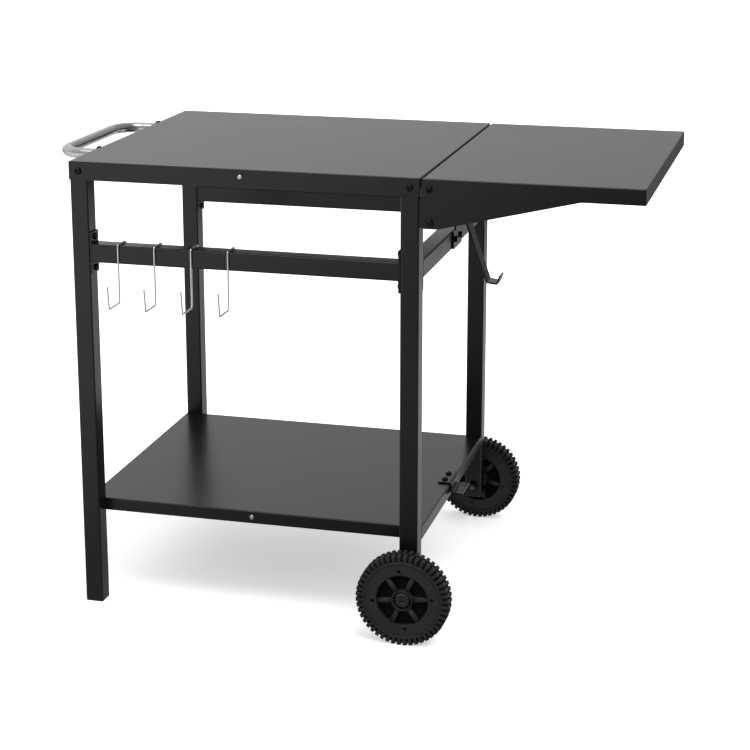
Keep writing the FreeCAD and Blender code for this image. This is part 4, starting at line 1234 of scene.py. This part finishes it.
# %% Gas-bottle hook
TANK_BEND = 3.5 * MM
TANK_FOLD = 10 * MM
TANK_REACH = 54 * MM
TANK_DROP = 124.5 * MM
TANK_SEAT = Vector((18 * MM, 0, -2 * MM))
TANK_LIP = Vector((4 * MM, 0, 14 * MM))
TANK_HALF = 15 * MM
TANK_FOOT_HALF = 31 * MM
tank_low, tank_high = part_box("tank_hook")
rail_low, rail_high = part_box("rail_side")
rail_top = (rail_low.z + rail_high.z) / 2 + RAIL_HEIGHT / 2
foot_low = rail_top - RAIL_HEIGHT
strip_x = tank_low.x + STRIP_THICKNESS / 2
fold_z = tank_high.z - STRIP_THICKNESS / 2
slope_end = Vector((strip_x + TANK_REACH, 0, fold_z - TANK_DROP))
seat_end = slope_end + TANK_SEAT
tank_line = [(strip_x, 0, rail_top), (strip_x, 0, fold_z), (strip_x + TANK_FOLD, 0, fold_z), slope_end, seat_end,
             seat_end + TANK_LIP]
shape = bmesh.new()
strip = strip_rows(shape, rounded_line(tank_line, TANK_BEND), TANK_HALF)
ears = [shape.verts.new((strip_x, y, rail_top)) for y in (-TANK_FOOT_HALF, TANK_FOOT_HALF)]
foot = [shape.verts.new((strip_x, y, foot_low))
        for y in (-TANK_FOOT_HALF, -TANK_HALF, TANK_HALF, TANK_FOOT_HALF)]
shape.faces.new((foot[0], foot[1], strip[0][0], ears[0]))
shape.faces.new((foot[1], foot[2], strip[0][1], strip[0][0]))
shape.faces.new((foot[2], foot[3], ears[1], strip[0][1]))
place(strip_piece("tank_hook_strip", shape), "frame", "black_coat", "tank_hook")

# %% Gas-bottle stop
STOP_BEND = 4.5 * MM
STOP_LEDGE = 20 * MM
stop_low, stop_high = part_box("tank_stop")
seat_z = stop_high.z - STRIP_THICKNESS / 2
web_x = stop_high.x - STOP_LEDGE
ledge_z = stop_low.z + STRIP_THICKNESS / 2
stop_line = [(stop_low.x, 0, seat_z), (web_x, 0, seat_z), (web_x, 0, ledge_z), (stop_high.x, 0, ledge_z)]
shape = bmesh.new()
strip_rows(shape, rounded_line(stop_line, STOP_BEND), (stop_high.y - stop_low.y) / 2)
place(strip_piece("tank_stop_strip", shape), "frame", "black_coat", "tank_stop")

# %% [markdown]
# ## Fasteners
# Bolts, screws and nuts repeat all over the cart. Each kind is modelled once about the origin, with its crown at
# zero and its shank down. A tree sets copies on the seats: points that hold which way the head faces. The
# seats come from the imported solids, so that every head sits exactly where its solid is.

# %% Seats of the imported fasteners
HEAD_REACH = 0.64


def solids_of(node):
    """The separate solids of a node, each as a list of points, in the same order each run."""
    shape = bmesh.new()
    shape.from_mesh(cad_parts[node].data)
    bmesh.ops.remove_doubles(shape, verts=shape.verts, dist=SAME_POINT)
    seen = set()
    solids = []
    for first in shape.verts:
        queue = [first]
        points = []
        while queue:
            vert = queue.pop()
            if vert not in seen:
                seen.add(vert)
                points.append(vert.co.copy())
                queue += [edge.other_vert(vert) for edge in vert.link_edges]
        if points:
            solids.append(points)
    shape.free()
    return sorted(solids, key=lambda points: min(tuple(point) for point in points))


def seats_of(node):
    """Crown, facing and length of each fastener of a node. The head is where its widest points are."""
    seats = []
    for points in solids_of(node):
        low = Vector([min(p[k] for p in points) for k in range(3)])
        high = Vector([max(p[k] for p in points) for k in range(3)])
        size = high - low
        middle = (low + high) / 2
        axis = min(range(3), key=lambda k: abs(size[k - 1] - size[k - 2]))
        away = [(p - middle) for p in points]
        reach = max((a.length_squared - a[axis] ** 2) for a in away)
        head = [a[axis] for a in away if a.length_squared - a[axis] ** 2 > HEAD_REACH * reach]
        facing = Vector((0, 0, 0))
        facing[axis] = 1 if sum(head) >= 0 else -1
        seats.append((middle + facing * (size[axis] / 2), facing, size[axis]))
    return seats


# %% The fastener tree
def seat_tree():
    tree, wires, keys = begin_tree("fasteners", {"Pattern": "Object", "Finish": "Material"})
    start = Wire(tree)
    facing, corner = [start.node("GeometryNodeInputNamedAttribute", {"data_type": "FLOAT_VECTOR"}, {"Name": label})
                      for label in ("facing", "corner")]
    upright = start.node("FunctionNodeAlignRotationToVector", {"axis": "Z"}, {"Vector": facing})
    turned_to = start.node("FunctionNodeAlignRotationToVector", {"axis": "X", "pivot_axis": "Z"},
                           {"Rotation": upright, "Vector": corner})
    end_tree(tree, copies_of(wires["Pattern"], wires["Geometry"], turned_to), wires["Finish"])
    return tree, keys


fasteners, fastener_keys = seat_tree()


def set_fasteners(node, body, slot, finish, pattern_maker, *sizes):
    """Sets one kind of fastener on all seats of a node."""
    crowns, facings, lengths = zip(*seats_of(node))
    pattern = pattern_maker(finish, lengths[0], *sizes)
    piece = add_points(node + "_set", crowns)
    corners = [Vector((1, 0, 0)) if abs(facing.x) < 0.5 else Vector((0, 0, 1)) for facing in facings]
    for label, vectors in (("facing", facings), ("corner", corners)):
        values = piece.data.attributes.new(label, "FLOAT_VECTOR", "POINT").data
        values.foreach_set("vector", [number for vector in vectors for number in vector])
    grow(piece, fasteners, fastener_keys, {"Pattern": pattern, "Finish": finish})
    place(piece, body, slot, node)
    bpy.data.objects.remove(pattern)


# %% [markdown]
# ### Heads, recesses and nuts
# A round head is turned from its outline, and its recess is cut with a Boolean: a hexagon socket for bolts, a
# tapered cross for screws. A hexagon head has the curved chamfer that a real one gets on the lathe: its corners
# are cut by a cone, so the chamfer dips at each corner.

# %% Round heads
HEAD_STEPS = 32
HEAD_ROUND = 0.15 * MM
DOME_SHARE = 0.7
DOME_STEPS = 6
END_CHAMFER = 0.5 * MM
CROSS_REACH = 0.32
CROSS_WIDTH = 0.12
CROSS_DEPTH = 0.72
CROSS_TAPER = (0.55, 1.45)


def round_head(finish, length, head, height, shank):
    """A domed head on a shank, crown at zero."""
    dome = DOME_SHARE * height
    outline = [(0, -length), (shank / 2 - END_CHAMFER, -length), (shank / 2, -length + END_CHAMFER),
               (shank / 2, -height), (head / 2, -height)]
    outline += [(head / 2 - dome + dome * math.cos(a), -dome + dome * math.sin(a)) for a in quarter(DOME_STEPS)]
    outline.append((0, 0))
    return new_piece("head_pattern", turned(outline, Vector((0, 0, 0)), 2, HEAD_STEPS, closed=False), finish)


def socket_bolt(finish, length, head, height, shank, key):
    """A bolt with a hexagon socket."""
    shape = bmesh.new()
    bmesh.ops.create_cone(shape, cap_ends=True, segments=6, radius1=key / 2, radius2=key / 2, depth=height)
    bolt = round_head(finish, length, head, height, shank)
    return cut_away(bolt, new_piece("socket_cutter", shape, finish), HEAD_ROUND)


def cross_row(shape, reach, width, level):
    """The twelve points of a cross at one level."""
    arm_points = [Vector((x, y, level)) for x, y in ((reach, -width), (reach, width), (width, width))]
    turns = [Matrix.Rotation(math.pi / 2 * k, 3, "Z") for k in range(4)]
    return [shape.verts.new(turn @ point) for turn in turns for point in arm_points]


def cross_screw(finish, length, head, height, shank):
    """A screw with a cross recess that tapers inwards."""
    shape = bmesh.new()
    depth = CROSS_DEPTH * height
    reach = CROSS_REACH * head
    width = CROSS_WIDTH * head
    close_ends(shape, [cross_row(shape, share * reach, share * width, level)
                       for share, level in zip(CROSS_TAPER, (-depth, depth))])
    screw = round_head(finish, length, head, height, shank)
    return cut_away(screw, new_piece("cross_cutter", outward(shape), finish), HEAD_ROUND)


# %% Hexagon heads and nuts
HEXAGON_STEPS = 24
CHAMFER_SLOPE = math.tan(math.radians(30))
CHAMFER_START = 0.49
FACE_SHARE = 0.47
DISH_SHARE = 0.40
DISH_DEPTH = 0.25 * MM
THREAD_CHAMFER = 0.4 * MM


def even_row(radius, level):
    """A round row at the steps of a hexagon: angle, radius and height."""
    return [(2 * math.pi * k / HEXAGON_STEPS, radius, level) for k in range(HEXAGON_STEPS)]


def hexagon_rows(across, height):
    """Lower and upper edge of a hexagon, with the dip of the chamfer."""
    lower = []
    upper = []
    for angle, half, _ in even_row(across / 2, 0):
        radius = half / math.cos((angle % (math.pi / 3)) - math.pi / 6)
        dip = max(0.0, radius - CHAMFER_START * across) * CHAMFER_SLOPE
        lower.append((angle, radius, -height + dip))
        upper.append((angle, radius, -dip))
    return lower, upper


def polar_rows(shape, rows):
    """Rows of points from rows of angle, radius and height."""
    return [[shape.verts.new((radius * math.cos(angle), radius * math.sin(angle), level))
             for angle, radius, level in row] for row in rows]


def hexagon_bolt(finish, length, across, height, shank):
    """A bolt with a hexagon head."""
    shape = bmesh.new()
    rows = [even_row(shank / 2 - END_CHAMFER, -length), even_row(shank / 2, -length + END_CHAMFER),
            even_row(shank / 2, -height), even_row(CHAMFER_START * across, -height),
            *hexagon_rows(across, height),
            even_row(FACE_SHARE * across, 0), even_row(DISH_SHARE * across, -DISH_DEPTH)]
    close_ends(shape, polar_rows(shape, rows))
    return settle(rounded_piece("hexagon_bolt_pattern", outward(shape), finish, HEAD_ROUND))


def hexagon_nut(finish, length, across, thread):
    """A nut with a chamfer on both faces and at its thread."""
    shape = bmesh.new()
    mouth = thread / 2 + THREAD_CHAMFER
    rows = [even_row(thread / 2, -length + THREAD_CHAMFER), even_row(mouth, -length),
            even_row(FACE_SHARE * across, -length), *hexagon_rows(across, length),
            even_row(FACE_SHARE * across, 0), even_row(mouth, 0), even_row(thread / 2, -THREAD_CHAMFER)]
    join_rings(shape, polar_rows(shape, rows), True)
    return settle(rounded_piece("nut_pattern", outward(shape), finish, HEAD_ROUND))


# %% [markdown]
# ### All fasteners
# One table says for each node which body it rides on, its finish, its kind and its sizes: the head's width, its
# height, the shank and the key for a bolt, the width and the thread for a nut. The lengths come from the solids.

# %% Set all fasteners
BOLT = 6 * MM
KEY = 4.2 * MM
AXLE_KEY = 9.2 * MM
BOLT_HEAD = (11 * MM, 4 * MM, BOLT)
PIVOT_HEAD = (14 * MM, 4 * MM, BOLT)
CORNER_HEAD = (12 * MM, 4 * MM, BOLT)
TANK_HEAD = (10 * MM, 4 * MM, BOLT)
SMALL_HEAD = (8 * MM, 2.6 * MM, 4 * MM)
AXLE_HEAD = (26 * MM, 5 * MM, 10 * MM)
NUT = (10 * MM, BOLT)
SMALL_NUT = (7 * MM, 4 * MM)
AXLE_NUT = (16 * MM, 10 * MM)
FASTENERS = (
    ("rail_bolts", "frame", fastener_black, socket_bolt, *BOLT_HEAD, KEY),
    ("shelf_bolts", "frame", fastener_black, socket_bolt, *BOLT_HEAD, KEY),
    ("bracket_bolts", "frame", fastener_black, socket_bolt, *BOLT_HEAD, KEY),
    ("tank_stop_bolts", "frame", fastener_black, socket_bolt, *BOLT_HEAD, KEY),
    ("handle_screws", "frame", bright_zinc, socket_bolt, *BOLT_HEAD, KEY),
    ("pivot_bolts", "side_table", fastener_black, socket_bolt, *PIVOT_HEAD, KEY),
    ("corner_screws", "frame", fastener_black, cross_screw, *CORNER_HEAD),
    ("lock_screws", "side_table", fastener_black, cross_screw, *BOLT_HEAD),
    ("stiffener_screws", "frame", bright_zinc, cross_screw, *SMALL_HEAD),
    ("tank_hook_bolts", "frame", fastener_black, hexagon_bolt, *TANK_HEAD),
    ("tank_hook_nuts", "frame", bright_zinc, hexagon_nut, *NUT),
    ("stiffener_nuts", "frame", bright_zinc, hexagon_nut, *SMALL_NUT),
    ("tank_stop_nuts", "frame", fastener_black, hexagon_nut, *NUT),
    ("pivot_nuts", "side_table", fastener_black, hexagon_nut, *NUT),
    ("lock_nuts", "side_table", fastener_black, hexagon_nut, *NUT),
    ("axle_bolt_front", "frame", axle_lightened_zinc, socket_bolt, *AXLE_HEAD, AXLE_KEY),
    ("axle_nut_front", "frame", fastener_black, hexagon_nut, *AXLE_NUT),
    ("axle_bolt_back", "frame", axle_lightened_zinc, socket_bolt, *AXLE_HEAD, AXLE_KEY),
    ("axle_nut_back", "frame", fastener_black, hexagon_nut, *AXLE_NUT),
)
for node, body, finish, pattern_maker, *sizes in FASTENERS:
    slot = "zinc" if finish == bright_zinc else "black_fastener"
    set_fasteners(node, body, slot, finish, pattern_maker, *sizes)

# %% [markdown]
# ## Solids that stay as they are
# The hinge brackets are plain pressed plates, and the rivet nuts and handle inserts are out of sight inside the
# tubes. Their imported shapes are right, so they stay and only get their finish.

# %% Finishes of the kept solids
for node, finish in (("hinge_bracket_front", coat), ("hinge_bracket_back", coat), ("rivet_nuts", bright_zinc),
                     ("handle_inserts", plastic_black)):
    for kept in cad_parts[node].material_slots:
        kept.material = finish
    print(node, "keeps its solid in", finish.name)
